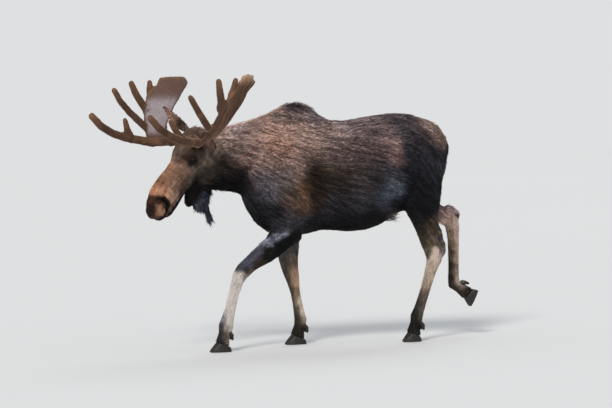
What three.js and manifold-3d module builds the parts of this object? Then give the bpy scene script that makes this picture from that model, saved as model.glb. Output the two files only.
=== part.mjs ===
// A bull moose in its summer coat, walking, with antlers in velvet: a still, life-size model.
// Millimetres, +Z up. The animal faces -X with its left side at -Y, and stands on Z = 0.
// Flesh and antlers are lofted from named stations and joined into one body, which thin flat
// cuts then part where a person would name its pieces. Eyes and hooves are set in after that.

import * as THREE from "three";
import { mergeVertices } from "three/addons/utils/BufferGeometryUtils.js";
import Module from "manifold-3d";

const wasm = await Module();
wasm.setup();

// ---------- driving sizes ----------

const CUT = 0.6; // width of each parting cut
const GAP = 0.3; // clearance round a piece set into the flesh
const FETLOCK_HEIGHT = 196; // fetlock joint above the sole of a standing foot
const LIFTED_FOOT_FLEX = 65; // degrees the raised hind foot folds back
const HIND_CLAW = 0.87; // length of a hind claw as a share of a fore claw
const CROWN = [-961, -80]; // point between the antler roots, seen from above
const HEAD_TURN = 28; // degrees the head is turned to the animal's left
const HEAD_PITCH = 54.5; // degrees the line from poll to nose drops
const HEAD_START = [-106, 1600]; // poll end of that line: forward of the crown, height
const EYE = { radius: 22, along: 152, rise: 6, right: 97 };
const SIDES = { trunk: 22, neck: 18, head: 16, jaw: 10, leg: 10, thin: 8, tine: 6, plate: 12 };

const UP = new THREE.Vector3(0, 0, 1);
const RIGHT = new THREE.Vector3(0, 1, 0); // the animal's right-hand side
const TAILWARD = new THREE.Vector3(1, 0, 0);
const SIDE = { left: -1, right: 1 };
const radians = THREE.MathUtils.degToRad;

// ---------- solids ----------

function toSolid(geometry) {
  const bare = new THREE.BufferGeometry();
  bare.setAttribute("position", geometry.getAttribute("position"));
  if (geometry.index) bare.setIndex(geometry.index);
  const merged = mergeVertices(bare, 1e-3);
  const vertProperties = new Float32Array(merged.attributes.position.array);
  const triVerts = new Uint32Array(merged.index.array);
  const made = new wasm.Manifold(new wasm.Mesh({ numProp: 3, vertProperties, triVerts }));
  if (made.volume() > 0) return made;
  const turned = triVerts.slice().reverse();
  return new wasm.Manifold(new wasm.Mesh({ numProp: 3, vertProperties, triVerts: turned }));
}

function toGeometry(solid) {
  const { vertProperties, triVerts, numProp, numVert } = solid.getMesh();
  const position = new Float32Array(numVert * 3);
  for (let i = 0; i < numVert; i++) {
    position.set(vertProperties.subarray(i * numProp, i * numProp + 3), i * 3);
  }
  const geometry = new THREE.BufferGeometry();
  geometry.setAttribute("position", new THREE.BufferAttribute(position, 3));
  geometry.setIndex(new THREE.BufferAttribute(new Uint32Array(triVerts), 1));
  geometry.computeVertexNormals();
  return geometry;
}

const join = (solids) => solids.reduce((sum, solid) => sum.add(solid));

// ---------- lofts ----------

// One closed section. front and back are measured either side of the path, side across it.
// square over 2 fills the corners; pinch narrows the front, keel the back; cup bends it.
function section(row, along, across, sides) {
  const { at, front, back, side, square = 2, pinch = 0, keel = 0, cup = 0 } = row;
  const forward = across.clone().cross(along).normalize();
  const rightward = along.clone().cross(forward).normalize();
  const bulge = (v) => Math.sign(v) * Math.abs(v) ** (2 / square);
  const points = [];
  for (let k = 0; k < sides; k++) {
    const angle = (2 * Math.PI * (k + 0.5)) / sides;
    const [c, s] = [Math.cos(angle), Math.sin(angle)];
    const narrowing = 1 - (s > 0 ? pinch : keel) * Math.abs(s) ** 1.5;
    const reach = (s > 0 ? front : back) * bulge(s) + cup * c * c;
    points.push(
      new THREE.Vector3(...at)
        .addScaledVector(rightward, side * bulge(c) * narrowing)
        .addScaledVector(forward, reach),
    );
  }
  return points;
}

function skinOver(rings) {
  const sides = rings[0].length;
  const middle = (ring) =>
    ring.reduce((sum, p) => sum.add(p), new THREE.Vector3()).divideScalar(sides);
  const points = [...rings.flat(), middle(rings[0]), middle(rings.at(-1))];
  const [first, last] = [points.length - 2, points.length - 1];
  const tail = (rings.length - 1) * sides;
  const index = [];
  for (let k = 0; k < sides; k++) {
    const next = (k + 1) % sides;
    for (let i = 0; i < rings.length - 1; i++) {
      const [a, b] = [i * sides + k, i * sides + next];
      index.push(a, b, b + sides, a, b + sides, a + sides);
    }
    index.push(first, next, k, last, tail + k, tail + next);
  }
  const geometry = new THREE.BufferGeometry().setFromPoints(points);
  geometry.setIndex(index);
  return geometry;
}

// A loft of sections that face along the path through their own centres.
function loft(rows, { sides, across = RIGHT }) {
  const rings = rows.map((row, i) => {
    const before = new THREE.Vector3(...rows[Math.max(i - 1, 0)].at);
    const after = new THREE.Vector3(...rows[Math.min(i + 1, rows.length - 1)].at);
    const along = after.sub(before).normalize();
    const sideways = across.clone().applyAxisAngle(UP, radians(row.turn ?? 0));
    return section(row, along, sideways, sides);
  });
  return toSolid(skinOver(rings));
}

// A round rod along a curve, its radius eased between the listed ones, with a rounded tip.
function rod(points, radii, { sides = SIDES.tine, segments = 4 } = {}) {
  const curve = new THREE.CatmullRomCurve3(points, false, "centripetal");
  const frames = curve.computeFrenetFrames(segments, false);
  const tipStart = 1 - radii.at(-1) / curve.getLength();
  const ringAt = (share, radius, i) => {
    const centre = curve.getPointAt(share);
    const ring = [];
    for (let k = 0; k < sides; k++) {
      const angle = (2 * Math.PI * k) / sides;
      ring.push(
        centre
          .clone()
          .addScaledVector(frames.normals[i], radius * Math.cos(angle))
          .addScaledVector(frames.binormals[i], radius * Math.sin(angle)),
      );
    }
    return ring;
  };
  const radiusAt = (share) => {
    const place = share * (radii.length - 1);
    const i = Math.min(Math.floor(place), radii.length - 2);
    return THREE.MathUtils.lerp(radii[i], radii[i + 1], place - i);
  };
  const rings = [];
  for (let i = 0; i < segments; i++) {
    const share = (i / segments) * tipStart;
    rings.push(ringAt(share, radiusAt(share), i));
  }
  for (const [reach, shrink] of [[0, 1], [0.75, 0.66]]) {
    const share = THREE.MathUtils.lerp(tipStart, 1, reach);
    rings.push(ringAt(share, radii.at(-1) * shrink, segments));
  }
  return toSolid(skinOver(rings));
}

// ---------- trunk ----------

// x along the body, then the top line, the belly line, the half width and where it is widest.
const TRUNK = [
  { x: -522, top: 1540, bottom: 1225, half: 80, widest: 1390, pinch: 0.2 },
  { x: -480, top: 1680, bottom: 1095, half: 145, widest: 1350, pinch: 0.32 },
  { x: -400, top: 1757, bottom: 955, half: 204, widest: 1285, pinch: 0.45 },
  { x: -290, top: 1803, bottom: 868, half: 238, widest: 1240, pinch: 0.54 },
  { x: -175, top: 1860, bottom: 845, half: 254, widest: 1220, pinch: 0.66 },
  { x: -75, top: 1886, bottom: 846, half: 262, widest: 1215, pinch: 0.72 },
  { x: 10, top: 1863, bottom: 860, half: 270, widest: 1215, pinch: 0.68 },
  { x: 100, top: 1795, bottom: 881, half: 282, widest: 1215, pinch: 0.56 },
  { x: 190, top: 1741, bottom: 877, half: 294, widest: 1214, pinch: 0.4 },
  { x: 310, top: 1728, bottom: 861, half: 306, widest: 1210, pinch: 0.34 },
  { x: 450, top: 1746, bottom: 866, half: 313, widest: 1210, pinch: 0.32 },
  { x: 570, top: 1761, bottom: 900, half: 306, widest: 1235, pinch: 0.32 },
  { x: 690, top: 1771, bottom: 985, half: 286, widest: 1290, pinch: 0.34 },
  { x: 830, top: 1760, bottom: 1018, half: 257, widest: 1370, pinch: 0.36 },
  { x: 960, top: 1716, bottom: 1070, half: 232, widest: 1390, pinch: 0.36 },
  { x: 1050, top: 1676, bottom: 1155, half: 184, widest: 1408, pinch: 0.32 },
  { x: 1112, top: 1588, bottom: 1330, half: 84, widest: 1440, pinch: 0.24 },
];

// Muscles that swell the flank sideways: centre, half length, half width, lean and height.
const MUSCLES = [
  { x: -205, z: 1400, long: 330, wide: 120, lean: -57, swell: 20 }, // shoulder blade
  { x: -330, z: 1090, long: 210, wide: 110, lean: 59, swell: 34 }, // upper arm
  { x: -150, z: 1080, long: 230, wide: 110, lean: 82, swell: 30 }, // back of the upper arm
  { x: 900, z: 1300, long: 260, wide: 170, lean: 80, swell: 26 }, // haunch
];

function swelling(x, z) {
  return MUSCLES.reduce((sum, muscle) => {
    const lean = radians(muscle.lean);
    const [dx, dz] = [x - muscle.x, z - muscle.z];
    const along = (dx * Math.cos(lean) - dz * Math.sin(lean)) / muscle.long;
    const over = (dx * Math.sin(lean) + dz * Math.cos(lean)) / muscle.wide;
    return sum + muscle.swell * Math.exp(-(along ** 2 + over ** 2));
  }, 0);
}

function trunk() {
  const rings = TRUNK.map(({ x, top, bottom, half, widest, pinch }) => {
    const depth = { front: widest - bottom, back: top - widest, side: half };
    const row = { at: [x, 0, widest], ...depth, square: 2.15, pinch: 0.12, keel: pinch };
    const ring = section(row, TAILWARD, RIGHT, SIDES.trunk);
    for (const point of ring) point.y += (point.y / half) * swelling(point.x, point.z);
    return ring;
  });
  return toSolid(skinOver(rings));
}

function tail() {
  const stations = [
    { at: [1060, 0, 1570], front: 24, back: 24, side: 34 },
    { at: [1104, 0, 1548], front: 20, back: 20, side: 34 },
    { at: [1126, 0, 1500], front: 14, back: 14, side: 28 },
    { at: [1132, 0, 1440], front: 9, back: 9, side: 18 },
    { at: [1132, 0, 1412], front: 4, back: 4, side: 6 },
  ];
  return loft(stations, { sides: SIDES.thin });
}

// ---------- neck, head and bell ----------

const headTurn = radians(HEAD_TURN);
const headForward = new THREE.Vector3(-Math.cos(headTurn), -Math.sin(headTurn), 0);
const headRight = new THREE.Vector3(-Math.sin(headTurn), Math.cos(headTurn), 0);

// A point given from the crown: forward, to the animal's right, and its height.
function fromCrown(forward, right, height) {
  return new THREE.Vector3(CROWN[0], CROWN[1], height)
    .addScaledVector(headForward, forward)
    .addScaledVector(headRight, right);
}

// A point on the head's own lines: along from poll to nose, rise towards the forehead, right.
const pitch = radians(HEAD_PITCH);
function onHead(along, rise, right = 0) {
  const forward = HEAD_START[0] + along * Math.cos(pitch) + rise * Math.sin(pitch);
  const height = HEAD_START[1] - along * Math.sin(pitch) + rise * Math.cos(pitch);
  return fromCrown(forward, right, height);
}

function neck() {
  const stations = [
    { at: [-250, 0, 1420], front: 370, back: 330, side: 205, pinch: 0.6, keel: 0.3, turn: 0 },
    { at: [-370, 0, 1450], front: 330, back: 318, side: 205, pinch: 0.5, keel: 0.3, turn: 0 },
    { at: [-490, 0, 1464], front: 285, back: 281, side: 190, pinch: 0.42, keel: 0.3, turn: 0 },
    { at: [-590, 0, 1470], front: 258, back: 262, side: 168, pinch: 0.38, keel: 0.3, turn: 2 },
    { at: [-690, 0, 1470], front: 238, back: 246, side: 146, pinch: 0.34, keel: 0.3, turn: 6 },
    { at: [-770, -3, 1466], front: 222, back: 232, side: 120, pinch: 0.32, keel: 0.3, turn: 14 },
    { at: [-835, -18, 1456], front: 196, back: 212, side: 92, pinch: 0.3, keel: 0.32, turn: 22 },
    { at: [-900, -48, 1444], front: 130, back: 165, side: 50, pinch: 0.3, keel: 0.34, turn: 28 },
  ];
  return loft(stations, { sides: SIDES.neck });
}

// along the head, then the forehead line, the jaw line, the half width and its own line.
const SKULL = [
  { along: -95, rise: 40, drop: -150, half: 74, line: -40, pinch: 0.25, keel: 0.2 },
  { along: -50, rise: 92, drop: -190, half: 104, line: -25, pinch: 0.3, keel: 0.24 },
  { along: 25, rise: 115, drop: -200, half: 117, line: 5, pinch: 0.22, keel: 0.27 },
  { along: 120, rise: 108, drop: -200, half: 118, line: 10, pinch: 0.2, keel: 0.28 },
  { along: 215, rise: 97, drop: -174, half: 100, line: -4, pinch: 0.3, keel: 0.27 },
  { along: 315, rise: 112, drop: -135, half: 82, line: -10, pinch: 0.3, keel: 0.3 },
  { along: 410, rise: 138, drop: -102, half: 76, line: 0, pinch: 0.26, keel: 0.25 },
  { along: 510, rise: 150, drop: -85, half: 78, line: 14, pinch: 0.21, keel: 0.18 },
  { along: 600, rise: 129, drop: -78, half: 82, line: 18, pinch: 0.2, keel: 0.15 },
  { along: 658, rise: 94, drop: -64, half: 75, line: 9, pinch: 0.2, keel: 0.15 },
  { along: 691, rise: 52, drop: -46, half: 50, line: 2, pinch: 0.1, keel: 0.1 },
];
const JAW = [
  { along: 230, rise: -40, drop: -160, half: 84, line: -100, pinch: 0.1, keel: 0.35 },
  { along: 380, rise: -28, drop: -128, half: 68, line: -78, pinch: 0.1, keel: 0.35 },
  { along: 520, rise: -25, drop: -118, half: 60, line: -76, pinch: 0.1, keel: 0.35 },
  { along: 590, rise: -30, drop: -106, half: 50, line: -74, pinch: 0.1, keel: 0.3 },
  { along: 624, rise: -40, drop: -86, half: 32, line: -64, pinch: 0.1, keel: 0.2 },
];

function headLoft(rows, sides) {
  const stations = rows.map(({ along, rise, drop, half, line, ...shape }) => ({
    at: onHead(along, line).toArray(),
    front: rise - line,
    back: line - drop,
    side: half,
    square: 2.4,
    ...shape,
  }));
  return loft(stations, { sides, across: headRight });
}

// The bell: a flap of skin and hair under the throat that ends in a tassel.
function bell() {
  const rows = [
    { forward: -110, height: 1300, front: 90, back: 130, side: 56 },
    { forward: -124, height: 1225, front: 128, back: 140, side: 42 },
    { forward: -130, height: 1160, front: 142, back: 112, side: 34 },
    { forward: -146, height: 1100, front: 88, back: 94, side: 29 },
    { forward: -192, height: 1052, front: 40, back: 50, side: 24 },
    { forward: -226, height: 1005, front: 22, back: 30, side: 20 },
    { forward: -248, height: 952, front: 9, back: 13, side: 9 },
  ];
  const stations = rows.map(({ forward, height, ...size }) => ({
    at: fromCrown(forward, 0, height).toArray(),
    ...size,
  }));
  return loft(stations, { sides: SIDES.thin, across: headRight });
}

// ---------- ears and eyes ----------

const EARS = {
  left: { root: [-116, -92, 1664], tip: [-60, -338, 1560], cut: 0.26 },
  right: { root: [-130, 84, 1684], tip: [18, 206, 1886], cut: 0.2 },
};
const earRoot = (name) => fromCrown(...EARS[name].root);
const earReach = (name) => fromCrown(...EARS[name].tip).sub(earRoot(name));
const onEar = (name, share) => earRoot(name).addScaledVector(earReach(name), share);

// A leaf-shaped ear: narrow at its root, widest past the middle, pointed, hollowed in front.
function ear(name) {
  const shape = [
    { share: -0.14, wide: 32, thick: 26, cup: 0 },
    { share: 0.12, wide: 36, thick: 25, cup: 4 },
    { share: 0.36, wide: 50, thick: 17, cup: 16 },
    { share: 0.6, wide: 50, thick: 11, cup: 18 },
    { share: 0.82, wide: 33, thick: 8, cup: 10 },
    { share: 1, wide: 7, thick: 5, cup: 0 },
  ];
  const stations = shape.map(({ share, wide, thick, cup }) => ({
    at: onEar(name, share).toArray(),
    front: thick,
    back: thick,
    side: wide,
    cup,
  }));
  const across = earReach(name).cross(headForward).normalize();
  return loft(stations, { sides: SIDES.thin, across });
}

function eyeball(side, radius) {
  const shape = new THREE.SphereGeometry(radius, 10, 7);
  return toSolid(shape.translate(...onHead(EYE.along, EYE.rise, side * EYE.right)));
}

// ---------- legs ----------

// Rows run down each leg: place, depth before and behind the bone line, then the half width.
const LEGS = {
  fore_left: {
    fetlock: [-698, -172, FETLOCK_HEIGHT],
    flex: 0,
    clawLength: 1,
    rows: [
      [-130, -120, 1120, 90, 90, 50],
      [-170, -160, 1010, 118, 112, 80],
      [-215, -172, 915, 98, 140, 78],
      [-285, -178, 845, 78, 132, 68],
      [-385, -180, 760, 62, 112, 57],
      [-480, -180, 680, 54, 76, 50],
      [-545, -180, 620, 55, 58, 48],
      [-577, -179, 573, 55, 52, 49],
      [-598, -178, 520, 45, 46, 43],
      [-622, -176, 440, 38, 38, 35],
      [-650, -174, 345, 37, 38, 33],
      [-678, -173, 255, 42, 42, 37],
      [-698, -172, 196, 46, 50, 45],
    ],
  },
  fore_right: {
    fetlock: [-36, 196, FETLOCK_HEIGHT],
    flex: 0,
    clawLength: 1,
    rows: [
      [-125, 120, 1170, 90, 90, 50],
      [-120, 165, 1070, 110, 112, 78],
      [-95, 178, 960, 126, 110, 76],
      [-92, 186, 860, 126, 86, 67],
      [-93, 192, 760, 118, 68, 58],
      [-93, 195, 660, 98, 55, 51],
      [-91, 196, 590, 79, 52, 49],
      [-86, 196, 540, 66, 52, 50],
      [-79, 196, 480, 49, 46, 43],
      [-69, 196, 410, 38, 38, 35],
      [-56, 196, 330, 37, 38, 33],
      [-44, 196, 250, 42, 42, 37],
      [-36, 196, 196, 46, 50, 45],
    ],
  },
  hind_left: {
    fetlock: [812, -128, FETLOCK_HEIGHT],
    flex: 0,
    clawLength: HIND_CLAW,
    rows: [
      [915, -115, 1470, 110, 90, 60],
      [905, -138, 1330, 180, 150, 104],
      [885, -148, 1200, 190, 172, 108],
      [878, -150, 1090, 165, 165, 98],
      [882, -148, 985, 120, 142, 80],
      [905, -144, 880, 96, 112, 62],
      [940, -140, 775, 86, 88, 50],
      [962, -137, 690, 70, 76, 46],
      [965, -135, 630, 60, 64, 43],
      [935, -133, 540, 45, 45, 36],
      [900, -131, 430, 40, 39, 33],
      [862, -129, 320, 39, 39, 33],
      [832, -128, 240, 42, 42, 37],
      [812, -128, 196, 46, 50, 45],
    ],
  },
  hind_right: {
    fetlock: [1190, 170, 412],
    flex: LIFTED_FOOT_FLEX,
    clawLength: HIND_CLAW,
    rows: [
      [915, 115, 1470, 110, 90, 60],
      [900, 138, 1340, 180, 160, 104],
      [870, 150, 1230, 185, 185, 108],
      [862, 156, 1130, 150, 190, 98],
      [930, 160, 1050, 118, 122, 80],
      [1035, 164, 995, 98, 75, 62],
      [1120, 167, 962, 80, 62, 50],
      [1180, 169, 925, 74, 62, 46],
      [1198, 170, 868, 62, 50, 43],
      [1200, 170, 770, 42, 40, 36],
      [1198, 170, 650, 39, 39, 33],
      [1195, 170, 540, 39, 39, 33],
      [1192, 170, 460, 42, 42, 37],
      [1190, 170, 412, 46, 50, 45],
    ],
  },
};

// Below the fetlock every leg is alike, so these rows are given from that joint.
const PASTERN = [
  [-6, 0, -48, 42, 48, 46],
  [-20, 0, -92, 44, 46, 52],
  [-28, 0, -130, 56, 54, 60],
  [-32, 0, -176, 62, 54, 62],
];

// Turns what is made round the fetlock by the foot's flex, and puts it in its place.
function footPlace({ fetlock, flex }) {
  const turn = new THREE.Matrix4().makeRotationY(radians(-flex));
  return new THREE.Matrix4().makeTranslation(...fetlock).multiply(turn);
}

function limb(leg) {
  const place = footPlace(leg);
  const lower = PASTERN.map(([x, y, z, ...sizes]) => [
    ...new THREE.Vector3(x, y, z).applyMatrix4(place),
    ...sizes,
  ]);
  const stations = [...leg.rows, ...lower].map(([x, y, z, front, back, side]) => ({
    at: [x, y, z],
    front,
    back,
    side,
    square: 2.1,
  }));
  return loft(stations, { sides: SIDES.leg });
}

// The point of the hock, which stands out behind the joint.
const HOCKS = {
  hind_left: [[965, -138, 800], [1030, -136, 745], [1046, -136, 712], [1010, -135, 640]],
  hind_right: [[1080, 166, 1015], [1180, 168, 1000], [1222, 169, 985], [1228, 170, 900]],
};

function hock(name) {
  const points = HOCKS[name].map((p) => new THREE.Vector3(...p));
  return rod(points, [30, 27, 24, 24], { sides: SIDES.thin });
}

// ---------- feet ----------

// A foot is made round its fetlock joint, toes towards -X, its sole at -FETLOCK_HEIGHT.
const CLAW = [
  { x: 34, height: 28, half: 16 },
  { x: 14, height: 64, half: 26 },
  { x: -20, height: 92, half: 28.5 },
  { x: -58, height: 90, half: 27.5 },
  { x: -94, height: 50, half: 21 },
  { x: -124, height: 12, half: 6 },
];
const CLAW_SECTION = [[-1, 0], [-0.92, 0.62], [0, 1], [0.92, 0.62], [1, 0]];
const CLEFT = { half: 31, closing: 0.04 }; // middle of a claw from the foot's own middle
const CORONET = { x: -40, height: 66, slope: 22 }; // plane where horn meets hair, down to the heel

function claw(side, length) {
  const rings = CLAW.map(({ x, height, half }) =>
    CLAW_SECTION.map(([across, rise]) => {
      const reach = CORONET.x + (x - CORONET.x) * length;
      const y = side * (CLEFT.half + CLEFT.closing * x) + across * half;
      return new THREE.Vector3(reach, y, rise * height - FETLOCK_HEIGHT);
    }),
  );
  return toSolid(skinOver(rings));
}

function dewclaw(side, swell = 0) {
  const points = [
    new THREE.Vector3(22 - swell, side * 24, swell - 48),
    new THREE.Vector3(44, side * 31, -74),
    new THREE.Vector3(46, side * 36, -112),
  ];
  const radii = [19, 18, 11].map((radius) => radius + swell);
  return rod(points, radii, { segments: 2 });
}

// The space above or below the coronet plane of a foot, reaching half a cut past it.
function spaceBy(above) {
  const [wide, deep] = [200, 150];
  const shape = new THREE.BoxGeometry(wide, wide, deep);
  shape.translate(0, 0, (above ? 1 : -1) * ((deep - CUT) / 2));
  shape.rotateY(radians(CORONET.slope));
  return toSolid(shape.translate(CORONET.x, 0, CORONET.height - FETLOCK_HEIGHT));
}

// The four pieces of horn of a foot, and the space that the flesh leaves free for them.
function foot(leg) {
  const place = footPlace(leg);
  const put = (solid) => solid.transform(place.elements);
  const horn = {};
  const spaces = [put(spaceBy(false))];
  for (const [word, side] of Object.entries(SIDE)) {
    horn[`claw_${word}`] = put(claw(side, leg.clawLength).subtract(spaceBy(true)));
    horn[`dewclaw_${word}`] = put(dewclaw(side));
    spaces.push(put(dewclaw(side, GAP)));
  }
  return { horn, spaces };
}

// ---------- antlers ----------

// Places are forward of the crown, outward from the head's middle, and height.
function antlerPoint(side, forward, outward, height) {
  return fromCrown(forward, side * outward, height);
}

const TINES = {
  root: { path: [[-40, 40, 1600], [-16, 80, 1622], [0, 108, 1622]], radii: [50, 48, 42] },
  beam: {
    path: [[-14, 84, 1624], [0, 156, 1606], [30, 232, 1600], [88, 296, 1608]],
    radii: [44, 39, 37, 38],
  },
  brow: {
    path: [[62, 276, 1606], [190, 319, 1616], [330, 341, 1646], [450, 356, 1700], [540, 361, 1764],
      [600, 361, 1836]],
    radii: [38, 36, 34, 33, 32, 29],
  },
  brow_inner: {
    path: [[225, 322, 1624], [262, 312, 1660], [308, 295, 1726], [335, 274, 1796]],
    radii: [30, 28, 25, 21],
  },
  palm_first: {
    path: [[10, 385, 1690], [95, 434, 1790], [168, 460, 1866], [236, 470, 1950], [290, 470, 2040]],
    radii: [30, 31, 29, 27, 24],
  },
  palm_second: {
    path: [[-30, 462, 1850], [25, 510, 1960], [48, 532, 2030], [65, 541, 2090]],
    radii: [36, 32, 29, 25],
  },
  palm_third: {
    path: [[-92, 495, 1940], [-104, 518, 2010], [-118, 532, 2090]],
    radii: [32, 28, 22],
  },
};
// Level slices of the palm: its place, half its width and thickness, and its hollow.
const PALM = [
  { at: [56, 286, 1600], wide: 54, thick: 33, cup: 0 },
  { at: [-12, 330, 1650], wide: 86, thick: 30, cup: -6 },
  { at: [-56, 390, 1745], wide: 94, thick: 22, cup: -16 },
  { at: [-110, 424, 1855], wide: 127, thick: 17, cup: -26 },
  { at: [-192, 443, 1970], wide: 148, thick: 16, cup: -22 },
  { at: [-280, 452, 2050], wide: 134, thick: 15, cup: -10 },
  { at: [-292, 460, 2112], wide: 112, thick: 9, cup: -5 },
];
const PALM_ACROSS = [899, 438]; // the palm's width runs forward and outward
// How far the tines of each antler stand above or below the table, since no pair matches.
const RAISED = { left: { palm_first: -66 }, right: { beam: 12, brow: 20, brow_inner: 16 } };

function antler(word) {
  const side = SIDE[word];
  const rods = Object.entries(TINES).map(([name, { path, radii }]) => {
    const points = path.map((place) => antlerPoint(side, ...place));
    for (const point of points.slice(1)) point.z += RAISED[word][name] ?? 0;
    return rod(points, radii, { segments: Math.max(3, path.length - 1) });
  });
  const across = new THREE.Vector3()
    .addScaledVector(headForward, PALM_ACROSS[0])
    .addScaledVector(headRight, side * PALM_ACROSS[1])
    .normalize();
  const rings = PALM.map(({ at, wide, thick, cup }) => {
    const place = antlerPoint(side, ...at);
    const row = { at: place, front: thick, back: thick, side: wide, square: 2.6 };
    return section({ ...row, cup: -side * cup }, UP, across, SIDES.plate);
  });
  return join([...rods, toSolid(skinOver(rings))]);
}

// ---------- parting into named pieces ----------

// A thin slab facing along a direction: its size in that plane is [level, steep].
function slab(centre, facing, [level, steep]) {
  const normal = new THREE.Vector3(...facing).normalize();
  const sideways = new THREE.Vector3().crossVectors(UP, normal);
  if (sideways.lengthSq() < 1e-6) sideways.copy(RIGHT);
  sideways.normalize();
  const steepest = new THREE.Vector3().crossVectors(normal, sideways);
  const turn = new THREE.Matrix4().makeBasis(sideways, steepest, normal);
  const shape = new THREE.BoxGeometry(level, steep, CUT).applyMatrix4(turn);
  return toSolid(shape.translate(...centre));
}

// A direction on the head's own lines, mirrored with the side.
function facingOn(side, forward, outward, up) {
  return new THREE.Vector3()
    .addScaledVector(headForward, forward)
    .addScaledVector(headRight, side * outward)
    .addScaledVector(UP, up);
}

function cuts() {
  const list = [
    slab(fromCrown(-212, 0, 1510), headForward, [460, 620]), // head from neck
    slab(fromCrown(-115, 0, 1184), facingOn(1, 0.28, 0, 0.96), [150, 350]), // bell from throat
    slab([-510, 0, 1480], [1, 0, 0], [520, 700]), // neck from trunk
    slab([1114, 0, 1480], [1, 0, 0], [100, 190]), // tail from rump
    slab([-245, -178, 884], [0.5, 0, 0.866], [210, 340]), // forearms from trunk
    slab([-110, 190, 880], [0, 0, 1], [180, 290]),
    slab([905, -148, 978], [0, 0, 1], [190, 420]), // gaskins from thighs
    slab([985, 162, 1030], [0.886, 0, -0.464], [190, 300]),
    slab([-577, -179, 573], [0.35, 0, 0.937], [150, 170]), // knees
    slab([-96, 196, 560], [0, 0, 1], [170, 190]),
    slab([972, -136, 662], [0.1, 0, 0.995], [170, 240]), // hocks
    slab([1195, 170, 900], [0.55, 0, -0.83], [170, 220]),
  ];
  for (const [name, { cut }] of Object.entries(EARS)) {
    list.push(slab(onEar(name, cut), earReach(name), [130, 130]));
  }
  for (const { fetlock, flex } of Object.values(LEGS)) {
    const above = [fetlock[0] + (flex ? 0 : 5), fetlock[1], fetlock[2] + 26];
    list.push(slab(above, [0, 0, 1], [140, 140]));
  }
  for (const side of Object.values(SIDE)) {
    list.push(
      slab(antlerPoint(side, -2, 132, 1612), facingOn(side, 0.15, 0.94, -0.3), [120, 120]), // burr
      slab(antlerPoint(side, 136, 300, 1618), facingOn(side, 0.93, 0.3, 0.05), [130, 130]), // brow
      slab(antlerPoint(side, 0, 330, 1656), facingOn(side, -0.25, 0.35, 0.9), [260, 200]), // palm
    );
  }
  return list;
}

// A point known to lie in each piece, and the finish it has.
function seeds() {
  const list = {
    head: [onHead(300, 0), "face"],
    neck: [[-650, 0, 1470], "coat"],
    trunk: [[300, 0, 1300], "coat"],
    tail: [[1126, 0, 1490], "coat"],
    bell: [fromCrown(-140, 0, 1100), "coat"],
    ear_left: [onEar("left", 0.5), "face"],
    ear_right: [onEar("right", 0.5), "face"],
    leg_fore_left_forearm: [[-480, -180, 680], "coat"],
    leg_fore_left_cannon: [[-622, -176, 440], "shank"],
    leg_fore_right_forearm: [[-93, 195, 660], "coat"],
    leg_fore_right_cannon: [[-69, 196, 410], "shank"],
    leg_hind_left_gaskin: [[905, -144, 880], "coat"],
    leg_hind_left_cannon: [[900, -131, 430], "shank"],
    leg_hind_right_gaskin: [[1100, 166, 970], "coat"],
    leg_hind_right_cannon: [[1198, 170, 650], "shank"],
  };
  for (const [name, { fetlock }] of Object.entries(LEGS)) {
    list[`leg_${name}_pastern`] = [fetlock, "shank"];
  }
  for (const [word, side] of Object.entries(SIDE)) {
    list[`antler_${word}_beam`] = [antlerPoint(side, 20, 210, 1608), "velvet"];
    list[`antler_${word}_brow`] = [antlerPoint(side, 330, 341, 1650), "velvet"];
    list[`antler_${word}_palm`] = [antlerPoint(side, -110, 424, 1855), "velvet"];
  }
  return list;
}

function partFlesh(whole) {
  const bodies = whole.subtract(join(cuts())).decompose();
  const pieces = {};
  for (const [name, [point, finish]] of Object.entries(seeds())) {
    const probe = toSolid(new THREE.BoxGeometry(8, 8, 8).translate(...point));
    const found = bodies.filter((body) => body.intersect(probe).volume() > 1);
    if (found.length !== 1) throw new Error(`${found.length} bodies hold the point of ${name}`);
    pieces[name] = { solid: found[0], finish };
  }
  const named = Object.keys(pieces).length;
  if (named !== bodies.length) throw new Error(`${bodies.length} bodies for ${named} names`);
  return pieces;
}

// ---------- the whole animal ----------

const FINISHES = {
  coat: { color: 0x3b2c26, roughness: 0.75 },
  face: { color: 0x6b4a38, roughness: 0.7 },
  shank: { color: 0x8f8378, roughness: 0.75 },
  velvet: { color: 0x7a5846, roughness: 0.9 },
  horn: { color: 0x1f1b19, roughness: 0.45 },
  eye: { color: 0x0c0706, roughness: 0.08 },
};

function moose() {
  const feet = Object.entries(LEGS).map(([name, leg]) => [name, foot(leg)]);
  const sides = Object.values(SIDE);
  const body = join([
    trunk(),
    tail(),
    neck(),
    headLoft(SKULL, SIDES.head),
    headLoft(JAW, SIDES.jaw),
    bell(),
    ...Object.keys(EARS).map(ear),
    ...Object.values(LEGS).map(limb),
    ...Object.keys(HOCKS).map(hock),
    ...Object.keys(SIDE).map(antler),
  ]);
  const holes = join([
    ...sides.map((side) => eyeball(side, EYE.radius + GAP)),
    ...feet.flatMap(([, { spaces }]) => spaces),
  ]);
  const pieces = partFlesh(body.subtract(holes));
  for (const [word, side] of Object.entries(SIDE)) {
    pieces[`eye_${word}`] = { solid: eyeball(side, EYE.radius), finish: "eye" };
  }
  for (const [name, { horn }] of feet) {
    for (const [piece, solid] of Object.entries(horn)) {
      pieces[`hoof_${name}_${piece}`] = { solid, finish: "horn" };
    }
  }
  return pieces;
}

const group = new THREE.Group();
for (const [name, { solid, finish }] of Object.entries(moose())) {
  const mesh = new THREE.Mesh(toGeometry(solid), new THREE.MeshStandardMaterial(FINISHES[finish]));
  mesh.name = name;
  group.add(mesh);
}

// The frame's origin is on the floor, under the middle of the whole animal.
const box = new THREE.Box3().setFromObject(group);
const middle = box.getCenter(new THREE.Vector3());
group.position.set(-middle.x, -middle.y, -box.min.z);

export default group;
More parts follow.
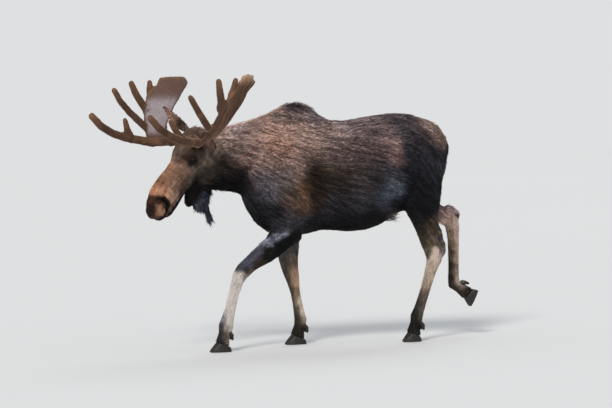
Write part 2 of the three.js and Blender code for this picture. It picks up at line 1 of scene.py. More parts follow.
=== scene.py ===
# %% [markdown]
# # A bull moose in velvet, walking
#
# A moose is a tall, slab-sided deer with a hump of muscle over its shoulders. In summer its
# coat is short and dark, its growing antlers are wrapped in velvet, and a flap of skin and
# hair, the bell, hangs under its throat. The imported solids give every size. This lesson turns
# their flat facets into one skin, covers it with tufts of hair, and finishes the eyes, the
# velvet and the hooves as pieces of their own.

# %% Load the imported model
import math

import bmesh
import bpy
import numpy as np
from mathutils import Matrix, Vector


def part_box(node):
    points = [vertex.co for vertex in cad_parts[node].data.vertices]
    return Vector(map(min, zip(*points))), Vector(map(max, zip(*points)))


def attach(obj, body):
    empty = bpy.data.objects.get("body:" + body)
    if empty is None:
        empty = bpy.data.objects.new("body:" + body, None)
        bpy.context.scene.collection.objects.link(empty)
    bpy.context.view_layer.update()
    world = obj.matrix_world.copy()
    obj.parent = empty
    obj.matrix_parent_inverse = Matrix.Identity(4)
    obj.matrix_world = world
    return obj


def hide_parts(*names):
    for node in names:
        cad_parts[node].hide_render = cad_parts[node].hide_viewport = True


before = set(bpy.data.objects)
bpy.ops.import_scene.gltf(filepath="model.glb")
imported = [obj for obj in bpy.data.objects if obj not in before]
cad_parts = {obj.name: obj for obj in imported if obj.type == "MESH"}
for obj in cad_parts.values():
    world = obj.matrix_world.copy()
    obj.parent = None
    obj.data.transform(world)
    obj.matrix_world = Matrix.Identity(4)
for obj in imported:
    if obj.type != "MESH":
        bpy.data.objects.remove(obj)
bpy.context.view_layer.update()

import openvdb as vdb
from mathutils import Matrix, Vector

NODES = sorted(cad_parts)

# %% [markdown]
# ## Colours and nodes
#
# Colours are picked on a screen, so they are written as sRGB hex values, and one function turns
# them into the linear numbers that shaders add up. One more function adds a node with its
# settings and its links, which keeps each material as short as a list of what it is made of.

# %% Colour and node helpers
def linear(hex_colour):
    """The linear RGB of an sRGB hex colour."""
    srgb = np.array([int(hex_colour[i : i + 2], 16) for i in (0, 2, 4)]) / 255
    return np.where(srgb <= 0.04045, srgb / 12.92, ((srgb + 0.055) / 1.055) ** 2.4)


def add_node(tree, kind, links=None, **settings):
    """Adds a node, sets its properties and sockets by name, and links its inputs."""
    node = tree.nodes.new(kind)
    for name, value in settings.items():
        if hasattr(node, name):
            setattr(node, name, value)
        else:
            node.inputs[name.replace("_", " ")].default_value = value
    for name, output in (links or {}).items():
        tree.links.new(output, node.inputs[name])
    return node


def add_material(name, **settings):
    """A new material, its node tree and its surface shader with the settings given."""
    material = bpy.data.materials.new(name)
    material.use_nodes = True
    surface = material.node_tree.nodes["Principled BSDF"]
    for socket, value in settings.items():
        surface.inputs[socket.replace("_", " ")].default_value = value
    return material, material.node_tree, surface


print("walnut brown in linear light:", linear("5a4030").round(3))

# %% [markdown]
# ## The camera
#
# The animal is seen from far off, nearly from its left side and from just above its own eye
# level, and the view is tilted by two degrees. A long lens at thirty metres keeps the near and
# the far legs almost the same size.

# %% Camera
AZIMUTH, ELEVATION, ROLL = (math.radians(v) for v in (-12, 2.5, 2))
DISTANCE = 30
LENS = 229.4  # mm, on a sensor 36 mm wide
AIM = Vector((0.147, 0.1121, 1.092))

back = Vector(
    (
        math.sin(AZIMUTH) * math.cos(ELEVATION),
        -math.cos(AZIMUTH) * math.cos(ELEVATION),
        math.sin(ELEVATION),
    )
)
level = Vector((math.cos(AZIMUTH), math.sin(AZIMUTH), 0))
upright = back.cross(level)
right = level * math.cos(ROLL) - upright * math.sin(ROLL)
over = level * math.sin(ROLL) + upright * math.cos(ROLL)
camera = bpy.data.objects.new("camera", bpy.data.cameras.new("camera"))
camera.data.lens = LENS
camera.data.sensor_width = 36
camera.data.clip_end = 200
camera.matrix_world = Matrix.Translation(AIM + back * DISTANCE) @ Matrix(
    (right, over, back)
).transposed().to_4x4()
bpy.context.scene.collection.objects.link(camera)
bpy.context.scene.camera = camera
print("camera at", [round(v, 2) for v in camera.location])

# %% [markdown]
# ## Landmarks
#
# Muscles, markings and the lie of the coat are all placed by landmarks, so each point of the
# animal is read in two sets of lines. Body lines run tailward, to the right and up, in
# millimetres from a point on the floor under the animal's middle line. Head lines run from the
# poll to the nose, out through the forehead, and to the right, and turn with the head. The tail
# and the two eyes fix them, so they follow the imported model.

# %% Body lines and head lines
TAIL_END = 1.1403  # m from the body's origin to the back of the tail
EYE_ALONG, EYE_RISE, EYE_RADIUS = 152, 6, 22  # mm
HEAD_PITCH = math.radians(54.5)

tail_low, tail_high = (np.array(corner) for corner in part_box("tail"))
ORIGIN = np.array([tail_high[0] - TAIL_END, (tail_low[1] + tail_high[1]) / 2, 0])
CROWN = ORIGIN + np.array([-0.961, -0.080, 0.0])  # on the floor under the antlers' roots
EYES = {side: sum(map(np.array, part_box("eye_" + side))) / 2 for side in ("left", "right")}
UP = np.array([0.0, 0.0, 1.0])
HEAD_RIGHT = EYES["right"] - EYES["left"]
HEAD_RIGHT = HEAD_RIGHT / np.linalg.norm(HEAD_RIGHT)
HEAD_LEVEL = np.cross(HEAD_RIGHT, UP)
HEAD_LEVEL = HEAD_LEVEL * (-1 if HEAD_LEVEL[0] > 0 else 1)
HEAD_ALONG = HEAD_LEVEL * math.cos(HEAD_PITCH) - UP * math.sin(HEAD_PITCH)
HEAD_RISE = HEAD_LEVEL * math.sin(HEAD_PITCH) + UP * math.cos(HEAD_PITCH)
HEAD_START = (EYES["left"] + EYES["right"]) / 2 - (
    HEAD_ALONG * EYE_ALONG + HEAD_RISE * EYE_RISE
) / 1000


def outward_of(side):
    """The direction away from the head on its left or its right."""
    return HEAD_RIGHT * (1 if side == "right" else -1)


def body_lines(points):
    """Tailward, rightward and upward places of points, in millimetres."""
    return ((points - ORIGIN) * 1000).T


def head_lines(points):
    """Places along the head, out of the forehead and to the right, in millimetres."""
    return np.array([HEAD_ALONG, HEAD_RISE, HEAD_RIGHT]) @ ((points - HEAD_START) * 1000).T


def antler_lines(points, side):
    """Forward of the crown, outward and height in mm."""
    return np.array([HEAD_LEVEL, outward_of(side), UP]) @ (points - CROWN).T * 1000


def ease(value, start, end):
    """0 at start, 1 at end, and smooth between them."""
    t = np.clip((value - start) / (end - start), 0, 1)
    return t * t * (3 - 2 * t)


def unit(vectors):
    """Each row of vectors, cut or stretched to a length of one."""
    return vectors / np.maximum(np.linalg.norm(vectors, axis=-1, keepdims=True), 1e-9)


print("body lines from", ORIGIN.round(3), "and head lines from", HEAD_START.round(3))

# %% [markdown]
# ## The skin as a field of distances
#
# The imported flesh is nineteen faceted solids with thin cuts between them. One way to a seamless
# skin is to sculpt over them. Another, used here, is to ask of every point near the animal how
# far it lies from the flesh. The cuts close when the surface is taken a few millimetres out and
# brought back in, facets melt when the distances are averaged with their neighbours, and
# muscles, lids and nostrils are added by raising or lowering the distance where they lie.

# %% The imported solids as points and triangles
FLESH = [n for n in NODES if not n.startswith(("antler", "eye", "hoof"))]


def rows_of(items, name, width, kind=np.float32):
    """One property of all points, edges or corners of a mesh, as rows of that width."""
    rows = np.empty(len(items) * width, kind)
    items.foreach_get(name, rows)
    return rows.reshape(-1, width)


def node_mesh(*names):
    """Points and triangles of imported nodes, as one list of each."""
    points, triangles, count = [], [], 0
    for name in names:
        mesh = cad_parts[name].data
        mesh.calc_loop_triangles()
        points.append(rows_of(mesh.vertices, "co", 3))
        triangles.append(rows_of(mesh.loop_triangles, "vertices", 3, np.int32) + count)
        count += len(mesh.vertices)
    return np.concatenate(points), np.concatenate(triangles)


print(len(FLESH), "solids of flesh have", len(node_mesh(*FLESH)[1]), "triangles")


# %% A grid of distances
def averaged(values, sigma):
    """Values on a grid, averaged with their neighbours by a Gaussian of sigma voxels."""
    reach = max(1, round(2.5 * sigma))
    weights = np.exp(-(np.arange(-reach, reach + 1) ** 2) / (2 * sigma**2))
    weights = (weights / weights.sum()).astype(np.float32)
    for axis in range(3):
        pad = [(reach, reach) if k == axis else (0, 0) for k in range(3)]
        padded = np.moveaxis(np.pad(values, pad, mode="edge"), axis, 0)
        count = values.shape[axis]
        total = sum(w * padded[k : k + count] for k, w in enumerate(weights))
        values = np.moveaxis(total, 0, axis)
    return np.ascontiguousarray(values)


class Field:
    """Distances in metres on a regular grid, read anywhere by straight-line blending."""

    def __init__(self, low, step, values):
        self.low, self.step, self.values = low, step, values

    def at(self, points):
        place = (points - self.low) / self.step
        top = np.array(self.values.shape) - 1.001
        place = np.clip(place, 0, top)
        whole = place.astype(np.int32)
        share = (place - whole).astype(np.float32)
        _, wide, deep = self.values.shape
        flat = self.values.ravel()
        base = (whole[:, 0] * wide + whole[:, 1]) * deep + whole[:, 2]
        fx, fy, fz = share.T
        rows = []
        for dx in (0, 1):
            for dy in (0, 1):
                k = base + (dx * wide + dy) * deep
                rows.append(flat[k] * (1 - fz) + flat[k + 1] * fz)
        near = rows[0] * (1 - fy) + rows[1] * fy
        far = rows[2] * (1 - fy) + rows[3] * fy
        return near * (1 - fx) + far * fx

    def smoothed(self, sigma):
        return Field(self.low, self.step, averaged(self.values, sigma / self.step))


single = averaged(np.pad([[[1.0]]], 3), 1.0)
print("one voxel's value keeps", single.max().round(3), "of itself when averaged")

# %% Fields from solids, and surfaces from fields
BAND = 7  # voxels of true distance on each side of the surface
CLOSING = 0.003  # m, over the width of a cut


def field_of(names, step, closing=0.0, margin=0.05):
    """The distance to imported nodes, on a grid of that step, with gaps closed."""
    points, triangles = node_mesh(*names)
    spread = vdb.createLinearTransform(step)
    grid = vdb.FloatGrid.createLevelSetFromPolygons(
        points, triangles=triangles.astype(np.uint32), transform=spread, halfWidth=BAND
    )
    if closing:
        points, triangles, quads = grid.convertToPolygons(closing, 0)
        grid = vdb.FloatGrid.createLevelSetFromPolygons(
            points, triangles=triangles, quads=quads, transform=spread, halfWidth=BAND
        )
    first = np.floor((points.min(0) - margin) / step).astype(int)
    last = np.ceil((points.max(0) + margin) / step).astype(int)
    values = np.empty(last - first + 1, np.float32)
    grid.copyToArray(values, ijk=tuple(int(v) for v in first))
    return Field(first * step, step, values + closing)


def joined(first, second, width):
    """The lesser of two distances, rounded over where they differ by less than width."""
    mix = np.clip(0.5 + 0.5 * (first - second) / width, 0, 1)
    return first * (1 - mix) + second * mix - width * mix * (1 - mix)


def zero_surface(values):
    """The places, triangles and squares where distances on a grid pass zero."""
    grid = vdb.FloatGrid(0.05)
    grid.copyFromArray(values.astype(np.float32))
    return grid.convertToPolygons(0.0, 0.0)


body_field = field_of(FLESH, 0.008, CLOSING)
print("the body's grid is", body_field.values.shape, "from", body_field.values.min().round(3))

# %% [markdown]
# ## How deep the coat is
#
# The solids reach to the tips of the hair, so the skin lies under them by the depth of the
# coat. On a moose in summer that is a centimetre on the flanks, a little more under the mane,
# and a few millimetres on the face, the legs and the thin ridge that carries the hump. The bell
# is drawn in below, so that its hair ends where the solid does.

# %% Regions and coat depth
def ear_line(side):
    """The root and the tip of an ear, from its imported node."""
    corners = node_mesh("ear_" + side)[0].astype(float)
    away = np.linalg.norm(corners - HEAD_START, axis=1)
    return corners[away < np.quantile(away, 0.2)].mean(0), corners[away.argmax()]


EAR_LINES = {side: ear_line(side) for side in EYES}


def on_ear(points, side):
    """The share of the way from an ear's root to its tip, and the distance to that line."""
    root, tip = EAR_LINES[side]
    reach = tip - root
    share = (points - root) @ reach / (reach @ reach)
    nearest = root + np.clip(share, 0, 1)[:, None] * reach
    return share, np.linalg.norm(points - nearest, axis=1)


def regions(points):
    """How far each point belongs to the head, an ear, the bell and the legs, from 0 to 1."""
    x, _, z = body_lines(points)
    along, rise, _ = head_lines(points)
    head = ease(along, -120, -20) * ease(rise, -270, -215) * ease(-x, 620, 700)
    ears = np.zeros(len(points))
    front = np.flatnonzero((x < -640) & (z > 1450))
    for side in EAR_LINES:
        share, away = on_ear(points[front], side)
        ears[front] = np.maximum(ears[front], ease(share, -0.25, 0) * (1 - ease(away, 0.06, 0.08)))
    low = (1 - ease(z, 1165, 1235)) * ease(z, 900, 940)
    bell = ease(-x, 600, 650) * low * (1 - head)
    legs = (1 - ease(z, 640, 900)) * (1 - bell)
    far_hind = ease(x, 1120, 1170) * (1 - ease(z, 1010, 1060))
    return head, ears, bell, np.maximum(legs, far_hind)


# Where the bell ends below, x and z in mm: it narrows to a thin tip under the throat.
BELL_HEM = [-954, -888, -801, -775, -765, -742], [1145, 1094, 1071, 1030, 983, 966]


def coat_depth(points):
    """The depth of the coat in metres, more where the antlers' stalks leave the head."""
    x, _, z = body_lines(points)
    head, ears, bell, legs = regions(points)
    crest = ease(z, 1700, 1840) * ease(-x, -260, -60)
    mane = ease(z, 1570, 1700) * ease(-x, 300, 480)
    depth = 9 - 6 * crest + 4 * mane
    tail = ease(x, 1090, 1125) * ease(z, 1400, 1440)
    forward, outward, height = antler_lines(points, "right")
    off_axis = np.hypot(forward + 7, height - 1622)
    stump = ease(np.abs(outward), 102, 128) * (1 - ease(off_axis, 52, 62)) * (1 - ears)
    for part, value in ((head, 2.5), (ears, 2.0), (bell, 3.0), (legs, 1.5), (tail, 3.0)):
        depth = depth * (1 - part) + value * part
    hem = np.interp(x, *BELL_HEM) + 38 - z
    hang = bell * ease(-x, 715, 735) * np.clip(hem, 0, 60)
    return (depth + 7 * stump + hang) / 1000


ribs = ORIGIN + [[0.2, -0.3, 1.4]]
print("on the ribs the coat is", (coat_depth(ribs) * 1000).round(1), "mm deep")

# %% [markdown]
# ## Muscles and folds
#
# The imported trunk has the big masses. Under a short coat one also sees the ridge of the
# shoulder blade, the groove in front of it, the elbow, the hollow of the flank, the fold of
# skin before the thigh and the cords down the legs. Each is one soft ridge or groove, given by
# its place from the side, its two half lengths, how it leans and how high it stands.

# %% Relief of the body
# side, x, z, half length, half width, lean in degrees down towards the tail, height, all mm
RELIEF = [
    ("both", -200, 1520, 250, 40, -57, 9),  # ridge of the shoulder blade
    ("both", -45, 1440, 260, 50, -62, -9),  # behind the blade
    ("both", -425, 1450, 240, 46, -62, -15),  # in front of the shoulder
    ("both", -560, 1385, 200, 36, 18, -10),  # groove of the lower neck
    ("both", -520, 1600, 240, 60, 4, 7),  # muscle of the upper neck
    ("left", -432, 1200, 85, 75, 0, 20),  # point of the shoulder
    ("left", -388, 1215, 60, 20, -50, -10),  # notch over it
    ("right", -330, 1200, 90, 80, 0, 14),
    ("both", -170, 1170, 190, 80, 58, 12),  # back of the upper arm
    ("both", -290, 1130, 190, 32, 60, -11),  # between its two muscles
    ("left", -218, 905, 60, 50, 0, 14),  # elbow
    ("right", -10, 930, 60, 50, 0, 12),
    ("both", -40, 1010, 150, 60, 15, -13),  # behind the elbow
    ("left", -330, 830, 150, 22, 38, -6),  # between the forearm's muscles
    ("both", 120, 1450, 260, 22, 78, -2),  # ribs
    ("both", 200, 1430, 260, 22, 78, -2),
    ("both", 280, 1400, 260, 22, 78, -2),
    ("both", 360, 1390, 240, 22, 78, -2),
    ("both", 540, 1672, 260, 36, 0, 6),  # edge of the loin
    ("both", 640, 1500, 170, 85, 30, -15),  # hollow of the flank
    ("both", 738, 1650, 75, 50, 20, 14),  # point of the hip
    ("both", 985, 1330, 280, 34, 82, -10),  # groove down the haunch
    ("both", 780, 1330, 260, 44, 62, -8),  # front edge of the haunch
    ("left", 770, 1085, 110, 80, 60, 16),  # stifle
    ("left", 690, 1120, 170, 30, -58, 15),  # fold of the flank
    ("right", 760, 1120, 110, 80, 40, 14),
    ("both", 1062, 1570, 60, 50, 0, 10),  # pin bone
    ("left", 925, 905, 150, 18, 70, -6),  # before the heel cord
    ("left", 978, 790, 120, 14, 74, -7),
    ("right", 1130, 960, 110, 16, 20, -7),
    ("left", 1018, 828, 80, 26, 69, 24),  # heel cord
    ("right", 1106, 922, 62, 40, 70, 20),  # front of the far hock
    ("right", 1195, 660, 210, 60, 90, 5),
    ("left", -508, 577, 60, 42, 60, 7),  # back of the knee
    ("left", -118, 852, 62, 55, 20, 30),  # under the elbow
    ("left", -662, 340, 250, 60, 75, 5),  # cannon
    ("left", -688, 196, 64, 60, 75, 11),  # fetlock
]
# Between bone and cord on each lower leg: x, z in mm.
CORDS = {
    "left": [[(-590, 505), (-640, 345), (-668, 262)], [(957, 590), (915, 430), (866, 290)]],
    "right": [[(-66, 465), (-44, 330), (-31, 255)], [(1211, 830), (1212, 650), (1208, 480)]],
}
print(len(RELIEF), "muscles, folds and hollows")


# %% Mounds and grooves
def mound(u, v, long, wide, lean):
    """A soft mound, 1 at its middle, of two half lengths, leaning down along u."""
    turn = math.radians(lean)
    a = (u * math.cos(turn) - v * math.sin(turn)) / long
    b = (u * math.sin(turn) + v * math.cos(turn)) / wide
    return np.exp(-(a * a) - b * b)


def to_line(u, v, line):
    """The distance in a plane from (u, v) to a line through points."""
    best = np.full(u.shape, 1e6)
    for (u0, v0), (u1, v1) in zip(line, line[1:]):
        du, dv = u1 - u0, v1 - v0
        t = np.clip(((u - u0) * du + (v - v0) * dv) / (du * du + dv * dv), 0, 1)
        best = np.minimum(best, np.hypot(u - u0 - t * du, v - v0 - t * dv))
    return best


def body_relief(points):
    """How far the skin stands out over the smooth body, in metres."""
    x, y, z = body_lines(points)
    outward = ease(np.abs(y), 60, 130)
    height = np.zeros(len(points))
    for side, u, v, long, wide, lean, rise in RELIEF:
        here = {"both": outward, "left": outward * (y < 0), "right": outward * (y > 0)}[side]
        height += rise * here * mound(x - u, z - v, long, wide, lean)
    for side, lines in CORDS.items():
        for line in lines:
            near = (y < 0) if side == "left" else (y > 0)
            height -= 5 * near * np.exp(-((to_line(x, z, line) / 8) ** 2))
    return height / 1000


blade = ORIGIN + [[-0.2, -0.3, 1.52]]
print("the shoulder blade stands out", (body_relief(blade) * 1000).round(1), "mm")

# %% [markdown]
# ## Lids, nostrils and lips
#
# The head gets its own relief on its own lines: the brow over the eye, the hollow in front of
# it, the cheek muscle, the crest down the face, the swollen nose and the long overhanging lip.
# The nostril is a deep comma that opens forward round a soft lobe, and the mouth is a groove
# that rises to its corner. Lids are a second skin laid over each eyeball and slit open.

# %% Relief of the head
# along, rise, half length, half width, lean in degrees down the head, height, all mm
HEAD_RELIEF = [
    (112, 52, 70, 24, 12, 9),  # brow
    (222, 30, 42, 26, 0, -8),  # hollow before the eye
    (40, 70, 50, 40, 0, -4),  # temple
    (105, -118, 95, 62, -20, 10),  # cheek muscle
    (255, -42, 130, 16, 12, 6),  # crest of the face
    (330, 50, 110, 42, 0, -7),  # side of the bridge
    (330, -72, 90, 26, 12, -7),  # before the cheek muscle
    (520, 112, 95, 34, 0, 7),  # swelling over the nostril
    (500, 20, 46, 60, 0, 8),  # wing of the nostril
    (630, 48, 40, 26, 0, 8),  # lobe in front of it
    (660, 118, 46, 20, 0, -5),  # hollow of the nose's front
    (640, -18, 60, 26, -20, 8),  # upper lip
    (588, -86, 60, 15, 10, 5),  # lower lip
    (440, -44, 60, 20, 10, 5),  # corner of the lips
]
NOSTRIL_ARCH = [(578, 108), (562, 92), (550, 66), (545, 42)]
NOSTRIL = [(546, 48), (550, 18), (572, -8), (600, -20)]
NOSTRIL_END = [(600, -20), (628, -22), (652, -14)]
MOUTH = [(716, 22), (689, -14), (632, -36), (557, -66), (482, -84), (440, -86)]
FISSURE_TILT = math.radians(40)  # the slit between the lids, from the head's line
FISSURE_HALF, FISSURE_OPEN = 22.5, 12.5  # mm
LID, LID_BLEND = 3.2, 8  # mm: how thick a lid is, and how softly it meets the face
LID_REACH = 60  # mm from the middle of the eye
print(len(HEAD_RELIEF), "forms of the face")


# %% Relief and lids on the head
def head_relief(points):
    """How far the skin stands out over the smooth head, in metres."""
    along, rise, right = head_lines(points)
    outward = ease(np.abs(right), 22, 55)
    height = np.zeros(len(points))
    for u, v, long, wide, lean, lift in HEAD_RELIEF:
        height += lift * outward * mound(along - u, rise - v, long, wide, lean)
    side = ease(np.abs(right), 30, 60)
    for line, deep, wide in ((NOSTRIL_ARCH, 12, 14), (NOSTRIL, 32, 14), (NOSTRIL_END, 10, 9)):
        height -= deep * side * np.exp(-((to_line(along, rise, line) / wide) ** 2))
    lips = ease(np.abs(right), 8, 30)
    height -= 11 * lips * np.exp(-((to_line(along, rise, MOUTH) / 7) ** 2))
    return height / 1000


def with_lids(points, distance):
    """Lays lids over the eyeballs and slits them open."""
    for side, eye in EYES.items():
        place = (points - eye) * 1000
        close = np.flatnonzero((place**2).sum(1) < LID_REACH**2)
        if not len(close):
            continue
        near = place[close]
        ball = (np.linalg.norm(near, axis=1) - EYE_RADIUS - LID) / 1000
        lidded = joined(distance[close], ball, LID_BLEND / 1000)
        a, r, out = near @ HEAD_ALONG, near @ HEAD_RISE, near @ outward_of(side)
        u = a * math.cos(FISSURE_TILT) + r * math.sin(FISSURE_TILT)
        v = r * math.cos(FISSURE_TILT) - a * math.sin(FISSURE_TILT)
        slit = FISSURE_OPEN * (1 - (u / FISSURE_HALF) ** 2) - np.abs(v)
        opening = np.minimum(slit, out - 6) / 1000
        distance[close] = np.maximum(lidded, np.maximum(opening, -0.02))
    return distance


slit = 2 * FISSURE_HALF, 2 * FISSURE_OPEN
print("the lids open", slit, "mm")

# %% [markdown]
# ## One mesh for the whole skin
#
# The distances are asked for on a grid that is finer round the head, and the surface where they
# pass zero becomes a mesh of squares. The squares of the muzzle, the ears and the lids are cut
# smaller, and every point is then slid along the slope of the field until it lies on the skin.

# %% The skin's distance
smooth_body = body_field.smoothed(0.022)
limb_body = body_field.smoothed(0.007)
head_field = field_of([n for n in FLESH if n in ("head", "neck", "bell") or n[:3] == "ear"],
                      0.004, CLOSING)
smooth_head = head_field.smoothed(0.006)
print("the head's grid is", head_field.values.shape)


def skin_distance(points):
    """The signed distance in metres to the skin, less than zero inside it."""
    x, _, z = body_lines(points)
    head, ears, bell, legs = regions(points)
    tail = ease(x, 1085, 1110) * ease(z, 1380, 1420)
    fine = np.maximum(np.maximum(legs, bell), np.maximum(tail, head))
    distance = smooth_body.at(points) * (1 - fine) + limb_body.at(points) * fine
    front = np.flatnonzero((x < -600) & (z > 900))
    share = ease(-x[front], 600, 680) * ease(z[front], 900, 940)
    ear = ears[front]
    near = points[front]
    detail = smooth_head.at(near) * (1 - ear) + head_field.at(near) * ear
    distance[front] = distance[front] * (1 - share) + detail * share
    distance += coat_depth(points) - body_relief(points) * (1 - head)
    face = np.flatnonzero(head > 0)
    distance[face] -= head_relief(points[face]) * head[face]
    return with_lids(points, distance)


# %% Extract the skin
def steps_between(marks, sizes):
    """Grid lines between marks, each stretch with its own spacing."""
    lines = [np.arange(a, b, size) for a, b, size in zip(marks, marks[1:], sizes)]
    return np.concatenate(lines + [[marks[-1]]])


low, high = (np.array(corner) for corner in zip(*[
    (min(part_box(n)[0][k] for n in FLESH) - 0.03, max(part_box(n)[1][k] for n in FLESH) + 0.03)
    for k in range(3)
]))
GRID = [
    steps_between([low[0], ORIGIN[0] - 0.66, ORIGIN[0] + 1.04, high[0]], [0.0072, 0.0132, 0.009]),
    steps_between([low[1], high[1]], [0.009]),
    steps_between([low[2], high[2]], [0.0104]),
]


def extract(distance, axes):
    """The mesh of squares where a distance function passes zero on a grid."""
    lattice = np.stack(np.meshgrid(*axes, indexing="ij"), -1).reshape(-1, 3)
    values = limb_body.at(lattice).astype(np.float32)
    near = np.flatnonzero(np.abs(values) < 0.045)
    values[near] = distance(lattice[near])
    places, triangles, quads = zero_surface(values.reshape([len(axis) for axis in axes]))
    spots = [np.interp(row, np.arange(len(axis)), axis) for row, axis in zip(places.T, axes)]
    return np.stack(spots, 1), triangles, quads


points, triangles, quads = extract(skin_distance, GRID)
print(len(points), "points,", len(quads), "squares and", len(triangles), "triangles")


# %% Cut the fine places smaller
def finer(points):
    """How many times the squares at each point are cut smaller."""
    along, rise, right = head_lines(points)
    face = (along > 400) & (rise > -140) & (np.abs(right) < 120)
    ears = regions(points)[1] > 0.5
    eyes = np.zeros(len(points), bool)
    for eye in EYES.values():
        eyes |= np.linalg.norm(points - eye, axis=1) < 0.042
    return (face | ears | eyes).astype(int) + eyes


def subdivided(mesh, level):
    """Cuts once the squares whose points all have more than that level."""
    wanted = finer(rows_of(mesh.vertices, "co", 3).astype(float)) > level
    work = bmesh.new()
    work.from_mesh(mesh)
    edges = [e for e in work.edges if wanted[e.verts[0].index] and wanted[e.verts[1].index]]
    bmesh.ops.subdivide_edges(work, edges=edges, cuts=1, use_grid_fill=True)
    work.to_mesh(mesh)
    work.free()


print((finer(points) > 0).sum(), "points are where the squares are cut smaller")


# %% Slide the points onto the skin
def settle(points, edges, distance, rounds=4, relax=0.35):
    """Evens out a mesh and slides its points onto the surface of a distance function."""
    count = np.bincount(edges.ravel(), minlength=len(points))[:, None]
    shift, farthest, least_slope = 0.0006, 0.006, 0.3
    for turn in range(rounds):
        slope = [distance(points + step) - distance(points - step) for step in np.eye(3) * shift]
        slope = np.stack(slope, 1) / (2 * shift)
        size = np.maximum((slope**2).sum(1, keepdims=True), least_slope**2)
        if turn < rounds - 1:
            total = np.zeros_like(points)
            for a, b in ((0, 1), (1, 0)):
                for k in range(3):
                    total[:, k] += np.bincount(
                        edges[:, a], points[edges[:, b], k], minlength=len(points)
                    )
            move = (total / np.maximum(count, 1) - points) * relax
            move -= slope * (move * slope).sum(1, keepdims=True) / size
            points = points + move
        away = np.clip(distance(points), -farthest, farthest)[:, None]
        points = points - away * slope / size
    return points


print("the surface starts", np.abs(skin_distance(points[::50])).max().round(4), "m off at most")


# %% Make the skin
def mesh_of(name, points, *faces):
    """A smooth-shaded mesh from points and arrays of triangles or squares."""
    mesh = bpy.data.meshes.new(name)
    loops = np.concatenate([f.ravel() for f in faces]).astype(np.int32)
    sides = np.concatenate([np.full(len(f), f.shape[1]) for f in faces])
    mesh.vertices.add(len(points))
    mesh.vertices.foreach_set("co", points.astype(np.float32).ravel())
    mesh.loops.add(len(loops))
    mesh.loops.foreach_set("vertex_index", loops)
    mesh.polygons.add(len(sides))
    mesh.polygons.foreach_set("loop_start", (np.cumsum(sides) - sides).astype(np.int32))
    mesh.update(calc_edges=True)
    mesh.polygons.foreach_set("use_smooth", np.ones(len(sides), bool))
    return mesh


def add_piece(name, mesh, nodes=()):
    """Puts a mesh in the scene as a piece that rides on the animal and stands for nodes."""
    piece = bpy.data.objects.new(name, mesh)
    bpy.context.scene.collection.objects.link(piece)
    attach(piece, "root")
    if nodes:
        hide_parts(*nodes)
    return piece


skin_mesh = mesh_of("skin", points, triangles, quads)
for level in (0, 1):
    subdivided(skin_mesh, level)
place = rows_of(skin_mesh.vertices, "co", 3).astype(float)
settled = settle(place, rows_of(skin_mesh.edges, "vertices", 2, np.int32), skin_distance)
skin_mesh.vertices.foreach_set("co", settled.astype(np.float32).ravel())
skin_mesh.update()
skin_mesh.calc_loop_triangles()
add_piece("skin", skin_mesh, FLESH)
print("the skin has", len(skin_mesh.loop_triangles), "triangles")
